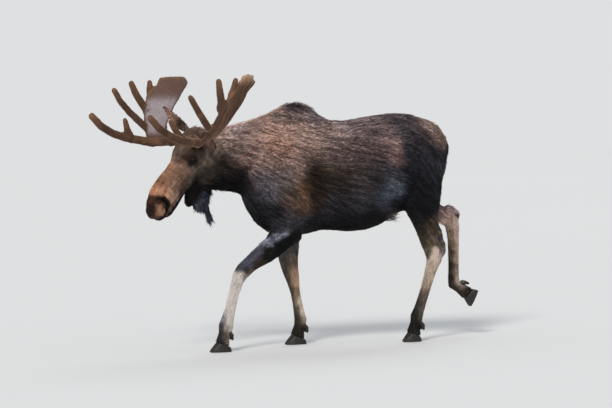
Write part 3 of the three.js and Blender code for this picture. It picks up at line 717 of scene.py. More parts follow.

# %% [markdown]
# ## Markings
#
# A moose's summer coat is not one brown. The hair of the neck, shoulders and back has pale
# reddish tips that the sun bleaches. The chest, belly and thighs are nearly black, a rusty patch
# shows behind the shoulder, and the legs fade to cream. The marks also carry painted light: the
# pale upper body is partly painted sunlight, the throat, the belly, the groin and the fronts of
# the lower legs are painted darker with shade, and black hair is painted blue-grey where it would
# catch the sky. Each mark is a place on the animal seen from the side, how far it reaches and its
# colour, and a point takes the mean of the marks round it. Skin and coat ask the same function,
# so they always agree.

# %% Marks of the body and the legs
# The pale upper marks hold painted sunlight as well as bleached tips, and the darkest hold painted
# shade.
# side: x, z, reach, all mm, colour
MARKS_AND_PAINTED_LIGHT = {
    "both": [
        # crest of the hump
        (-110, 1862, 62, "483d3f"), (-235, 1775, 55, "70615a"), (-100, 1765, 60, "64544f"),
        (65, 1760, 60, "5f5455"),
        # top of the shoulder
        (-230, 1680, 85, "846b5e"), (-60, 1650, 70, "8a7468"),
        # crest of the neck
        (-560, 1700, 70, "9e8c84"), (-430, 1660, 80, "9a8074"),
        # side of the neck
        (-610, 1590, 80, "735f56"), (-500, 1530, 80, "6d5a52"), (-745, 1500, 60, "5c4d46"),
        (-640, 1440, 60, "352a24"),
        # throat and lower neck, painted nearly black with the shade under the neck
        (-680, 1380, 60, "0c0907"), (-745, 1300, 50, "0b0806"), (-560, 1350, 60, "18120e"),
        (-540, 1260, 60, "060505"),
        # shoulder
        (-400, 1480, 75, "6c574e"), (-250, 1560, 80, "76594b"), (-300, 1440, 60, "5f504a"),
        (-180, 1430, 75, "705c53"), (-370, 1320, 65, "514a4b"), (-230, 1310, 60, "594e4b"),
        # point of the shoulder, its blue-grey a painted sheen on black hair
        (-350, 1210, 60, "4a474b"), (-450, 1170, 50, "27272c"),
        # upper arm
        (-400, 1060, 60, "1e1e20"), (-300, 1060, 50, "232224"), (-200, 1180, 55, "4b3d36"),
        # rusty patch behind it, then painted shade in the hollow behind the shoulder, and the side
        # above it
        (-110, 1130, 48, "5b4535"), (-75, 1240, 42, "4c3725"), (-120, 1050, 40, "43362e"),
        (20, 1350, 50, "1e140e"), (30, 1260, 55, "20160e"), (20, 1150, 50, "2c2016"),
        (20, 1480, 70, "58483f"), (30, 1570, 60, "69584f"),
        # back and ribs
        (140, 1650, 90, "78655d"), (260, 1725, 80, "685c5c"), (200, 1540, 90, "66554f"),
        (260, 1440, 90, "4f413d"), (190, 1340, 90, "34291f"), (330, 1330, 90, "3d3330"),
        (220, 1220, 90, "282220"),
        # belly: black hair, darker below with painted shade, with a grey painted sheen on its side
        (330, 1130, 80, "333134"), (180, 1090, 70, "28262a"), (260, 1010, 80, "131315"),
        (300, 900, 90, "0b0b0d"),
        # loin and flank; the blue-grey marks low on the flank are a painted sheen on its fold,
        # and the two blackest are painted shade under the belly and in the groin
        (470, 1700, 90, "5f5352"), (470, 1580, 90, "5c4d49"), (440, 1440, 90, "483b39"),
        (470, 1300, 80, "2b2729"), (600, 1570, 60, "665450"), (620, 1490, 50, "6c564e"),
        (645, 1420, 42, "5b4945"), (580, 1310, 60, "38363b"), (610, 1200, 55, "464a51"),
        (540, 1120, 60, "3b3e44"), (470, 960, 80, "0d0d0f"), (655, 1090, 45, "0d0d0f"),
        # rump
        (700, 1740, 70, "4a4143"), (790, 1650, 70, "413a3c"), (920, 1700, 55, "72625a"),
        (985, 1640, 55, "77645a"), (900, 1590, 55, "3f3533"), (1050, 1560, 45, "66554b"),
        # haunch and thigh, black and darker low with painted shade, with a painted blue-grey sheen
        # at its back edge
        (790, 1500, 60, "29272b"), (880, 1480, 70, "312f33"), (850, 1350, 90, "25252b"),
        (850, 1200, 90, "121216"), (1020, 1380, 60, "2b2c30"), (1000, 1200, 60, "202226"),
        (830, 1080, 70, "141416"),
        # tail
        (1130, 1480, 40, "17171b"),
        # chest and girth; the two grey marks under the chest are a painted highlight
        (-470, 1090, 60, "1a191a"), (-360, 950, 55, "1a191b"), (-230, 960, 50, "323236"),
        (-130, 980, 50, "38363a"), (-60, 890, 60, "1b1a1b"),
        # bell: black hair with a painted blue-grey sheen
        (-860, 1140, 60, "343640"), (-810, 1010, 50, "2a2c33"),
        # sheath
        (640, 960, 34, "4c3b35"),
    ],
    "left": [
        # near foreleg: the first six marks are a painted blue-grey highlight down its upper front,
        # the next three painted shade under the elbow, and the dark fronts of the pale cannon and
        # fetlock are painted shade
        (-210, 896, 21, "696b73"), (-268, 868, 21, "6a6d75"), (-338, 832, 21, "666971"),
        (-409, 774, 19, "4e4e58"), (-469, 726, 17, "4b4b58"), (-529, 675, 29, "494c58"),
        (-150, 846, 44, "0b0b0c"), (-240, 808, 34, "0c0b0b"), (-335, 742, 30, "191816"),
        (-433, 655, 23, "3a302a"), (-392, 655, 23, "2f2a20"), (-575, 626, 20, "3d3d43"),
        (-520, 618, 20, "2e2a2b"), (-500, 600, 18, "6a594d"), (-618, 590, 20, "bab2ad"),
        (-575, 592, 20, "a8a09c"), (-535, 575, 20, "8b7e74"), (-600, 555, 23, "c8bfba"),
        (-605, 522, 18, "a9a19d"), (-618, 480, 29, "c4bbb6"), (-635, 425, 31, "d0c7c1"),
        (-655, 365, 31, "cac1bc"), (-690, 315, 23, "a29b97"), (-655, 300, 26, "c6bdb8"),
        (-715, 262, 21, "75727a"), (-668, 240, 23, "b9b1ac"), (-735, 205, 21, "47474d"),
        (-690, 190, 23, "8e8178"), (-650, 190, 21, "c0b7b3"), (-752, 150, 21, "29292e"),
        (-710, 135, 23, "5d554f"), (-680, 110, 23, "7d7064"), (-760, 95, 29, "1f1f22"),
        # near hind leg; the dark fronts of its pale cannon and fetlock are painted shade
        (850, 1000, 52, "17161a"), (815, 930, 39, "211c15"), (870, 885, 39, "2c251b"),
        (965, 930, 36, "3d332a"), (940, 860, 34, "4a3f31"), (990, 800, 15, "2a292e"),
        (885, 800, 31, "3a3225"), (930, 780, 31, "57493a"), (1015, 745, 21, "544c44"),
        (1035, 700, 21, "736866"), (965, 705, 18, "c2afa2"), (915, 705, 21, "665a4c"),
        (908, 665, 18, "453e32"), (965, 655, 26, "cab8ac"), (1005, 645, 23, "a08f84"),
        (935, 590, 29, "a6968a"), (925, 515, 31, "a29181"), (905, 445, 31, "978577"),
        (890, 385, 26, "6c5b51"), (850, 350, 23, "4e4640"), (890, 330, 23, "675953"),
        (830, 285, 23, "35322d"), (865, 270, 23, "655b53"), (795, 220, 26, "23221e"),
        (850, 200, 23, "544d3f"), (780, 120, 39, "201f1e"),
        # hock and gaskin
        (980, 661, 10, "c6b9b4"), (1040, 705, 16, "6f6462"), (960, 797, 18, "73635a"),
    ],
    "right": [
        # far foreleg; the dark front edge of its pale lower leg is painted shade
        (-90, 900, 65, "1d1d20"), (-145, 750, 36, "454548"), (-90, 750, 42, "625d58"),
        (-45, 740, 32, "332d26"), (-140, 650, 29, "484642"), (-95, 645, 34, "806d5f"),
        (-55, 640, 26, "584635"), (-135, 580, 26, "413d36"), (-90, 580, 29, "a38975"),
        (-55, 560, 23, "c19c83"), (-115, 500, 23, "514534"), (-75, 500, 26, "bfa089"),
        (-50, 480, 21, "cfad95"), (-95, 420, 23, "4e4236"), (-55, 420, 23, "9f8970"),
        (-80, 340, 23, "4d4437"), (-45, 340, 23, "b7a797"), (-70, 260, 26, "423d33"),
        (-20, 260, 23, "c0b0a3"), (-60, 190, 26, "332f28"), (-5, 190, 23, "8d7f75"),
        (-60, 110, 39, "2b2824"),
        # far hind leg; the dark front edge of its pale cannon is painted shade
        (1010, 1060, 46, "4c433e"), (1100, 1010, 31, "665652"), (1040, 970, 46, "6f5d55"),
        (1115, 955, 36, "a99188"), (1170, 990, 26, "8f7d7b"), (1232, 990, 20, "b5a3a1"),
        (1226, 955, 18, "2d2522"), (1150, 925, 31, "a3897a"), (1190, 895, 31, "b09c8e"),
        (1228, 890, 23, "b8a49f"), (1172, 820, 26, "7a6859"), (1222, 800, 26, "b39d91"),
        (1172, 740, 26, "6f5e4e"), (1222, 720, 26, "9a8575"), (1172, 640, 26, "4a3f31"),
        (1222, 620, 26, "a38e81"), (1170, 540, 26, "352d23"), (1215, 520, 26, "917f72"),
        (1165, 460, 26, "373026"), (1225, 440, 26, "b29c92"), (1185, 395, 29, "363027"),
        (1245, 400, 23, "8a7972"), (1230, 335, 34, "302d28"), (1290, 350, 31, "292722"),
        # painted shade under the far hock and along its cannon
        (1127, 862, 14, "413422"), (1136, 814, 15, "3c301f"), (1152, 706, 15, "3a301f"),
        (1158, 578, 15, "2b271c"),
    ],
}
print(sum(map(len, MARKS_AND_PAINTED_LIGHT.values())), "marks on the body and the legs")

# %% Marks of the head
# These marks hold painted light and shade as well as the face's own colours: the bridge is partly
# painted lighter for a high sun, and the eye, the jaw, the nostril and the front of the nose are
# painted darker with shade.
# along, rise, reach, all mm, colour
HEAD_MARKS_AND_PAINTED_LIGHT = [
    # crown and forehead
    (-60, 70, 50, "5a473c"), (10, 125, 45, "71584a"), (80, 128, 40, "604b40"),
    (146, 130, 34, "66544b"), (109, 58, 24, "463529"), (245, 138, 26, "8f6b55"),
    # bridge of the nose, its own brown partly painted lighter where it faces up to the sun
    (298, 134, 38, "9a6d58"), (355, 160, 38, "a37d60"), (410, 135, 34, "7d5b46"),
    (468, 165, 36, "8d5f48"), (523, 149, 32, "a3775f"), (585, 175, 30, "784a35"),
    # round the eye, painted dark with the shade under the brow
    (168, 58, 15, "402a1b"), (134, 2, 20, "100f0e"), (180, -36, 22, "1a1613"),
    (153, 24, 14, "2b2019"), (228, 70, 15, "59443a"), (198, -6, 15, "1e1714"),
    (49, -27, 24, "2a2018"),
    # side of the face
    (108, 14, 20, "453a33"), (96, -30, 26, "574941"), (282, 53, 34, "7f6452"),
    (258, -12, 28, "745d51"), (214, -60, 28, "75655a"), (165, -105, 34, "5c5148"),
    (82, -118, 38, "6a5b50"), (18, -77, 38, "73645a"), (183, -172, 36, "423b34"),
    (252, -135, 34, "322e28"), (306, -78, 32, "5a4e47"), (330, -13, 28, "6b5041"),
    (359, 61, 34, "8a6a57"), (428, 114, 20, "715341"), (417, 11, 28, "6f584a"),
    (389, -62, 28, "51443c"), (82, -190, 36, "3b322a"),
    # jaw and chin, painted dark with the shade under the jaw
    (377, -130, 30, "11100d"), (300, -160, 34, "181512"), (440, -100, 24, "211a16"),
    # muzzle
    (480, 38, 22, "a17c66"), (504, -9, 16, "b5927d"), (506, 22, 14, "ab8770"),
    (471, -20, 18, "977a6a"), (458, -48, 22, "82685c"), (538, 146, 16, "865640"),
    (500, 113, 18, "bd8f70"), (460, 84, 20, "a87f66"), (520, 90, 12, "9a7055"),
    # nostril and the hollow over it, painted dark with the shade in the opening and under its fold
    (580, 140, 16, "38221a"), (566, 104, 17, "20130c"), (550, 66, 13, "20130c"),
    (545, 42, 12, "1d120b"), (549, 18, 13, "130c08"), (570, -10, 13, "110b08"),
    (603, -22, 11, "150e0a"), (637, -18, 10, "21150f"), (590, 80, 11, "3d281c"),
    # lobe; the two darkest marks are painted shade in the hollow of the nose's front
    (620, 62, 12, "7c5948"), (592, 36, 10, "54392c"), (634, 48, 15, "956e5b"),
    (662, 34, 14, "85634f"), (640, 14, 12, "876756"), (655, 84, 13, "2d1c12"),
    (690, 60, 14, "2a1c14"), (686, 18, 12, "4a3529"),
    # front of the nose, mostly painted dark with shade
    (605, 138, 17, "4a2c1f"), (654, 125, 18, "2a1a11"), (700, 100, 18, "26170f"),
    (600, 168, 22, "7d4a37"), (650, 165, 18, "45281c"), (712, 40, 14, "261912"),
    (690, -6, 12, "231915"),
    # edge of the upper lip
    (617, -47, 11, "6d5242"), (574, -53, 13, "78604f"), (532, -50, 15, "6f5645"),
    (650, -46, 12, "191310"),
    # lower lip
    (606, -78, 16, "0d0d0e"), (555, -96, 18, "0c0d0f"), (505, -112, 22, "100f0f"),
]
EAR_BACK, EAR_INSIDE, EAR_TIP = linear("4a3a32"), linear("86695b"), linear("241b17")
print(len(HEAD_MARKS_AND_PAINTED_LIGHT), "marks on the head")


# %% The colour at a point
def mean_of_marks(u, v, *groups):
    """The colour at (u, v) as the mean of marks that count more the nearer they are."""
    total = np.zeros((len(u), 3), np.float32)
    amount = np.full(len(u), 1e-12, np.float32)
    for share, marks in groups:
        for mark_u, mark_v, reach, colour in marks:
            gap = (u - mark_u) ** 2 + (v - mark_v) ** 2
            weight = share * np.exp(-gap / (1.3 * reach * reach))
            total += weight[:, None] * linear(colour).astype(np.float32)
            amount += weight
    return total / amount[:, None]


def slow_waves(points, size, seed):
    """A smooth random number from -1 to 1, in waves about that size in metres."""
    draw = np.random.default_rng(seed)
    total = np.zeros(len(points))
    for _ in range(5):
        wave = draw.normal(size=3) * 2 * math.pi / size / 1.7
        total += np.sin(points @ wave + draw.uniform(0, 2 * math.pi))
    return total / 3


PIVOT, CONTRAST = 0.045, 0.3  # brings back the contrast that blending the marks takes away


def markings_and_painted_light(points, normals):
    """The colour of the coat in linear light, at points with these normals, with the painted light
    and shade that the marks hold.
    """
    x, y, z = (row.astype(np.float32) for row in body_lines(points))
    along, rise, _ = head_lines(points)
    left = ease(-y, -25, 25)
    shares = {"both": 1.0, "left": left, "right": 1 - left}
    colour = mean_of_marks(x, z, *[(shares[side], marks) for side, marks in MARKS_AND_PAINTED_LIGHT.items()])
    head, ears, _, legs = regions(points)
    face = np.flatnonzero(head > 0)
    share = head[face, None]
    skin_of_face = mean_of_marks(along[face], rise[face], (1.0, HEAD_MARKS_AND_PAINTED_LIGHT))
    colour[face] = colour[face] * (1 - share) + skin_of_face * share
    near = np.flatnonzero(ears > 0)
    for side in EAR_LINES:
        reach, away = on_ear(points[near], side)
        belongs = (ears[near] * (away < 0.08) * ease(reach, -0.2, 0.1))[:, None]
        reach = reach[:, None]
        inside = ease(normals[near] @ HEAD_LEVEL, 0.1, 0.6)[:, None] * ease(reach, 0.15, 0.4)
        tint = EAR_BACK * (1 - inside) + EAR_INSIDE * inside
        tint = tint + (EAR_TIP - tint) * ease(reach, 0.75, 1)
        colour[near] += (tint - colour[near]) * belongs
    swirls = 0.26 * slow_waves(points, 0.055, 61) + 0.2 * slow_waves(points, 0.028, 62)
    colour = colour * np.exp(head * (1 - ears) * swirls)[:, None]
    light = (colour @ np.array([0.2, 0.7, 0.1]) / PIVOT) ** (CONTRAST * (1 - 0.6 * legs))
    return np.clip(colour * np.clip(light, 0.3, 1.4)[:, None], 0.002, 0.9)


shoulder_top, leftward = ORIGIN + [[-0.23, -0.3, 1.68]], np.array([[0.0, -1.0, 0.0]])
print("linear colour at the top of the shoulder", markings_and_painted_light(shoulder_top, leftward).round(3))

# %% [markdown]
# ## The lie of the coat
#
# Hair grows away from the nose and down the legs. On the face it runs from the muzzle up to the
# crown, on the neck and the flanks towards the tail and a little down, on the shoulder and the
# thigh more steeply down, and on each ear from root to tip. The lie is a direction along the
# skin at every point, mixed from these and bent a little by slow waves, as real coats part and
# swirl.

# %% Which way the hair lies
def along_skin(ways, normals):
    """Directions laid flat on a surface with these normals."""
    return unit(ways - normals * (ways * normals).sum(1, keepdims=True))


def coat_lie(points, normals):
    """The unit direction along the skin in which the hair lies."""
    x, y, z = body_lines(points)
    head, ears, bell, legs = regions(points)
    low = 1 - ease(z, 1050, 1500)
    shoulder = ease(-x, -60, 100) * (1 - ease(-x, 380, 520))
    haunch = ease(x, 700, 850)
    down = 0.2 + 0.35 * shoulder + 0.9 * haunch + 0.2 * low
    down = down + 1.4 * ease(-x, 380, 520) * low
    way = np.stack([np.ones(len(x)), np.zeros(len(x)), -down], 1)
    neck_way = np.array([0.9, 0.1, -0.45])
    near, fore = y < 0, x < 400
    lean = np.where(fore, -0.31 - 1.1 * ease(z, 590, 680), -0.3 + 0.75 * ease(z, 660, 760))
    far_lean = np.where(fore, 0.1, 2.0 * ease(z, 900, 980) + 1.3 * (1 - ease(z, 360, 430)))
    limb = np.stack([np.where(near, lean, far_lean), np.zeros(len(x)), -np.ones(len(x))], 1)
    forearm = near * ease(-x, 90, 200) * (1 - ease(z, 880, 960)) * fore
    way += ease(-x, 480, 640)[:, None] * (neck_way - way)
    for part, goal in (
        (np.maximum(legs, forearm), limb),
        (bell, np.array([0.1, 0.0, -1.0])),
        (head, -HEAD_ALONG - 0.35 * HEAD_RISE),
        (ease(x, 1085, 1115) * ease(z, 1380, 1430), np.array([0.0, 0.0, -1.0])),
    ):
        way += part[:, None] * (goal - way)
    near = np.flatnonzero(ears > 0)
    for side, (root, tip) in EAR_LINES.items():
        away = on_ear(points[near], side)[1]
        goal = unit(tip - root)
        way[near] += (ears[near] * (away < 0.08))[:, None] * (goal - way[near])
    across = np.cross(normals, way)
    bend = 0.22 * slow_waves(points, 0.3, 3) + 0.12 * slow_waves(points, 0.08, 4)
    way = way + across * (bend * (1 - 0.5 * head))[:, None]
    return along_skin(way, normals)


def mesh_places(mesh):
    """The places and the normals of a mesh's points."""
    places, normals = rows_of(mesh.vertices, "co", 3), rows_of(mesh.vertex_normals, "vector", 3)
    return places.astype(float), normals.astype(float)


skin_points, skin_normals = mesh_places(skin_mesh)
skin_lie = coat_lie(skin_points, skin_normals)
skin_colours = markings_and_painted_light(skin_points, skin_normals)
print("mean colour of the skin", skin_colours.mean(0).round(3))

# %% [markdown]
# ## Unwrapping the skin
#
# A pattern can only be baked to a picture if every point of the skin has its own place on it.
# Each part of the body is close to a tube, so the trunk, the head, the ears, the bell and
# each leg are rolled out flat round their own middle lines and laid side by side on a square.
# A tuft takes the place of its root on the same square.

# %% Rolled-out charts
# The place of each chart on the square: low u, low v, width, height.
CHARTS = {
    "trunk": (0.01, 0.51, 0.98, 0.48),
    "head": (0.01, 0.27, 0.48, 0.22),
    "ear_left": (0.51, 0.39, 0.14, 0.10),
    "ear_right": (0.51, 0.27, 0.14, 0.10),
    "bell": (0.67, 0.27, 0.32, 0.22),
    "fore_left": (0.01, 0.01, 0.23, 0.24),
    "fore_right": (0.26, 0.01, 0.23, 0.24),
    "hind_left": (0.51, 0.01, 0.23, 0.24),
    "hind_right": (0.76, 0.01, 0.23, 0.24),
}
print(len(CHARTS), "charts")


# %% Roll out each part
def chart_of(points):
    """The number of the chart that each point belongs to."""
    x, y, _ = body_lines(points)
    head, ears, bell, legs = regions(points)
    chart = np.zeros(len(points), int)
    chart[head > 0.5] = 1
    nearer = on_ear(points, "right")[1] < on_ear(points, "left")[1]
    chart = np.where(ears > 0.5, 2 + nearer, chart)
    chart[bell > 0.5] = 4
    return np.where(legs > 0.5, 5 + (y > 0) + 2 * (x > 400), chart)


def rolled(points, chart):
    """How far along its part each point is, and its two offsets from the middle line."""
    x, y, z = body_lines(points)
    head_side = head_lines(points)
    reach, side_a, side_b = -z, x, y
    trunk, face = chart == 0, chart == 1
    reach = np.where(trunk, x, np.where(face, head_side[0], reach))
    side_a = np.where(trunk, z, np.where(face, head_side[1], side_a))
    side_b = np.where(trunk, y, np.where(face, head_side[2], side_b))
    for number, side in ((2, "left"), (3, "right")):
        root, tip = EAR_LINES[side]
        axis = unit(tip - root)
        first = np.cross(axis, HEAD_LEVEL)
        second = np.cross(axis, first)
        own = chart == number
        place = (points - root) * 1000
        reach = np.where(own, place @ axis, reach)
        side_a = np.where(own, place @ first, side_a)
        side_b = np.where(own, place @ second, side_b)
    return reach, side_a, side_b


skin_chart = chart_of(skin_points)
print("points on each chart:", np.bincount(skin_chart))

# %% The middle line of each chart
SLICES = 40  # along each chart
reach, side_a, side_b = rolled(skin_points, skin_chart)
chart_lines = []
for number in range(len(CHARTS)):
    own = skin_chart == number
    ends = reach[own].min(), reach[own].max()
    share = (reach[own] - ends[0]) / (ends[1] - ends[0])
    slot_of = np.clip(share * SLICES, 0, SLICES - 1).astype(int)
    middle = np.zeros((2, SLICES))
    for axis, side in enumerate((side_a[own], side_b[own])):
        for k in range(SLICES):
            here = side[np.abs(slot_of - k) <= 1]
            middle[axis, k] = (here.min() + here.max()) / 2 if len(here) else np.median(side)
        middle[axis] = np.convolve(np.pad(middle[axis], 2, "edge"), np.ones(5) / 5, "valid")
    chart_lines.append((ends, middle))
print(len(chart_lines), "middle lines of", SLICES, "slices")


# %% Lay the skin on the square
def unwrap(points, chart):
    """The place of each point on its chart: along it, then round it, from 0 to 1 each."""
    reach, side_a, side_b = rolled(points, chart)
    along, around = np.zeros(len(points)), np.zeros(len(points))
    for number, (ends, middle) in enumerate(chart_lines):
        own = chart == number
        share = (reach[own] - ends[0]) / (ends[1] - ends[0])
        at = share * SLICES - 0.5
        a = side_a[own] - np.interp(at, np.arange(SLICES), middle[0])
        b = side_b[own] - np.interp(at, np.arange(SLICES), middle[1])
        along[own] = share
        around[own] = np.arctan2(b, a) / (2 * math.pi) + 0.5
    return along, around


def on_square(along, around, chart):
    """Places on the whole square from places on the charts."""
    low_u, low_v, wide, high = np.array(list(CHARTS.values()))[chart].T
    return np.stack([low_u + wide * along.clip(0, 1), low_v + high * around.clip(-0.02, 1.02)], -1)


corner_of = rows_of(skin_mesh.loops, "vertex_index", 1, np.int32)[:, 0]
loop_start = rows_of(skin_mesh.polygons, "loop_start", 1, np.int32)[:, 0]
face_of = np.repeat(np.arange(len(loop_start)), np.diff(np.append(loop_start, len(corner_of))))
first_corner = corner_of[loop_start][face_of]
face_chart = skin_chart[first_corner]
around_0 = unwrap(skin_points[first_corner], face_chart)[1]
along, around = unwrap(skin_points[corner_of], face_chart)
around = around_0 + (around - around_0 + 0.5) % 1 - 0.5
skin_mesh.uv_layers.new(name="OFBake").data.foreach_set(
    "uv", on_square(along, around, face_chart).astype(np.float32).ravel()
)
print("nine charts hold", len(face_chart), "corners")

# %% [markdown]
# ## Hair as a material
#
# Moose hair is keratin, dark at the root and bleached at the tip, a hollow guard hair about
# 0.1 mm thick with a faint gloss along its length. Each tuft carries its colour in its points,
# fine noise breaks that up inside the tuft, and a soft grey sheen gives black hair the bluish
# bloom that it shows against the sky.

# %% Coat material
FINE_GRAIN = 1000 / 9  # per metre: bands of hair 9 mm apart, coarser than real hairs to show
BUMP_GRAIN = 1000 / 5  # per metre


def painted_grain(tree, surface, swing, scale, detail, roughness):
    """Gives a surface its painted colour, broken up by noise, and returns that noise."""
    painted = add_node(tree, "ShaderNodeAttribute", attribute_name="fur")
    place = add_node(tree, "ShaderNodeTexCoord")
    grain = add_node(tree, "ShaderNodeTexNoise", {"Vector": place.outputs["Object"]},
                     Scale=scale, Detail=detail, Roughness=roughness)
    shade = add_node(tree, "ShaderNodeMapRange", {"Value": grain.outputs["Fac"]},
                     From_Min=0.25, From_Max=0.75, To_Min=1 - swing, To_Max=1 + swing)
    mixed = add_node(tree, "ShaderNodeVectorMath",
                     {0: painted.outputs["Color"], 1: shade.outputs["Result"]},
                     operation="MULTIPLY")
    tree.links.new(mixed.outputs["Vector"], surface.inputs["Base Color"])
    return place, grain


def hair_material(name, roughness, tint, swing, bump):
    """Keratin hair: its colour is in the mesh, with grain, bump and a soft sheen over it."""
    material, tree, surface = add_material(
        name, Roughness=roughness, IOR=1.55, Specular_IOR_Level=0.12,
        Sheen_Weight=0.04, Sheen_Roughness=0.45, Sheen_Tint=(*linear(tint), 1))
    place, _ = painted_grain(tree, surface, swing, FINE_GRAIN, 3.0, 0.6)
    fine = add_node(tree, "ShaderNodeTexNoise", {"Vector": place.outputs["Object"]},
                    Scale=BUMP_GRAIN, Detail=2.0)
    relief = add_node(tree, "ShaderNodeBump", {"Height": fine.outputs["Fac"]},
                      Strength=bump, Distance=0.002)
    tree.links.new(relief.outputs["Normal"], surface.inputs["Normal"])
    return material


body_hair = hair_material("guard hair of the body", 0.5, "aab4c6", 0.22, 0.5)
face_hair = hair_material("short hair of the face", 0.55, "c8c0b8", 0.16, 0.4)
leg_hair = hair_material("short hair of the legs", 0.6, "d0ccc6", 0.18, 0.4)


def paint(mesh, colours):
    """Stores linear colours on a mesh's points as the colour of its hair."""
    rows = np.concatenate([colours, np.ones((len(colours), 1))], 1).astype(np.float32)
    layer = mesh.color_attributes.new("fur", "FLOAT_COLOR", "POINT")
    layer.data.foreach_set("color", rows.ravel())


# Painted shade: the skin between tufts is painted darker, for the hair's dark roots and the tufts'
# shade over it.
UNDER_TUFTS = 0.8  # the skin shows only between tufts, darker than they are
patches = 1 + 0.12 * slow_waves(skin_points, 0.05, 21)[:, None]
paint(skin_mesh, skin_colours * UNDER_TUFTS * patches)
skin_mesh.materials.append(body_hair)
print("three hair materials")

# %% [markdown]
# ## Tufts
#
# Hair could be grown as particles, but those are lost when a model leaves Blender, so each tuft
# is a thin closed lock: a three-sided base sunk in the skin, a three-sided middle that lifts
# off it, and a point. Locks overlap like shingles, lie along the coat, and differ in length,
# lift, bend and tone. They are placed by area, so that every side is covered alike.

# %% A tuft and where tufts grow
# kind: count, length, width, lift in degrees, spread of tone, gain over the tufts' own shadows
TUFTS = {
    "coat": (80000, 40, 6.6, 10, 0.52, 1.38),
    "shank": (24000, 15, 4.2, 12, 0.28, 1.26),
    "face": (27000, 10.5, 3.1, 10, 0.26, 1.0),
}
CHART_KIND = ["coat", "face", "face", "face", "coat"] + ["shank"] * 4
MOST_IN_PIECE = 19500  # tufts, of ten triangles each
ROOT_DEPTH = 0.0012  # m, how far a tuft's base is sunk in the skin
TUFT_CORNERS = np.array(
    [
        (0, 2, 1),
        (0, 1, 4), (0, 4, 3), (1, 2, 5), (1, 5, 4), (2, 0, 3), (2, 3, 5),
        (3, 4, 6), (4, 5, 6), (5, 3, 6),
    ]
)
PATCH = 0.003  # of the square, across one tuft
PATCH_PLACES = np.array(
    [(0, 0), (1, 0), (0.5, 0.25), (0.1, 0.55), (0.9, 0.6), (0.5, 0.8), (0.45, 1.0)]
) * PATCH

skin_mesh.calc_loop_triangles()
corner = rows_of(skin_mesh.loop_triangles, "vertices", 3, np.int32)
a, b, c = (skin_points[corner[:, k]] for k in range(3))
triangle_area = np.linalg.norm(np.cross(b - a, c - a), axis=1) / 2
triangle_chart = skin_chart[corner[:, 0]]
eye_gap = np.min([np.linalg.norm(a - eye, axis=1) for eye in EYES.values()], 0)
print("the skin's area is %.2f square metres" % triangle_area.sum())


def grow(kind, count, seed):
    """Even random roots on the skin: their triangle and their place in it."""
    draw = np.random.default_rng(seed)
    charts = np.array([CHART_KIND[number] == kind for number in triangle_chart])
    weight = triangle_area * charts * (eye_gap > 0.026)
    if kind == "face":
        along = head_lines(a)[0]
        weight = weight * (1 + 0.8 * ease(along, 380, 480))
    edges = np.cumsum(weight)
    dart = (np.arange(count) + draw.uniform(0, 1, count)) / count * edges[-1]
    index = np.searchsorted(edges, dart).clip(0, len(edges) - 1)
    u, v = draw.uniform(0, 1, (2, count))
    flip = u + v > 1
    u, v = np.where(flip, 1 - u, u), np.where(flip, 1 - v, v)
    return index, np.stack([1 - u - v, u, v], 1)


def mixed_on_skin(values, index, share):
    """A value of the skin's points read at roots."""
    return (values[corner[index]] * share[:, :, None]).sum(1)


print("a tuft has", len(TUFT_CORNERS), "triangles")


# %% The size and the points of a tuft
def tuft_sizes(kind, roots, draw):
    """Length, width and lift of each tuft, longer on the crest, the mane, the bell and tail."""
    _, length, width, lift, _, _ = TUFTS[kind]
    x, y, z = body_lines(roots)
    _, ears, bell, _ = regions(roots)
    long = np.ones(len(roots))
    rise = np.full(len(roots), float(lift))
    if kind == "coat":
        crest = ease(z, 1770, 1850) * ease(-x, -230, -90)
        mane = ease(z, 1640, 1720) * ease(-x, 250, 420)
        tail = ease(x, 1090, 1120) * ease(z, 1400, 1440)
        throat = ease(-x, 560, 680) * (1 - ease(z, 1230, 1330))
        long += 0.6 * crest + 0.5 * mane + 0.35 * bell + 0.2 * throat
        long -= 0.35 * (1 - ease(z, 900, 1080)) * (1 - bell)
        near_ear = np.max([(1 - ease(away, 0.08, 0.12)) * (1 - ease(share, 0.5, 1))
                           for share, away in (on_ear(roots, side) for side in EAR_LINES)], 0)
        long *= 1 - 0.65 * near_ear
        sheath = np.exp(-(((x - 640) / 34) ** 2 + (y / 30) ** 2)) * (z < 1060)
        long += 1.7 * sheath
        rise += 46 * sheath
        rise += 6 * crest + 7 * mane * (1 - near_ear) - bell + throat - 4 * tail
    if kind == "face":
        along, rise_on_head, _ = head_lines(roots)
        long -= 0.4 * ease(along, 480, 620)
        beard = (along > 80) * ease(-rise_on_head, 130, 180)
        long += 0.5 * (1 - ease(along, 0, 130)) + 0.6 * beard
        rise += 8 * (1 - ease(along, 0, 100)) - 3 * ears
    if kind == "shank":
        long += 0.5 * (1 - ease(z, 60, 130)) + 0.7 * ease(z, 640, 800)
    jitter = draw.normal(0, 1, (3, len(roots)))
    return (
        length / 1000 * long * np.clip(1 + 0.18 * jitter[0], 0.5, 1.5),
        width / 1000 * np.clip(1 + 0.2 * jitter[1], 0.5, 1.6) * (1 + 0.25 * (long - 1)),
        np.radians(rise * np.clip(1 + 0.3 * jitter[2], 0.3, 2)),
    )


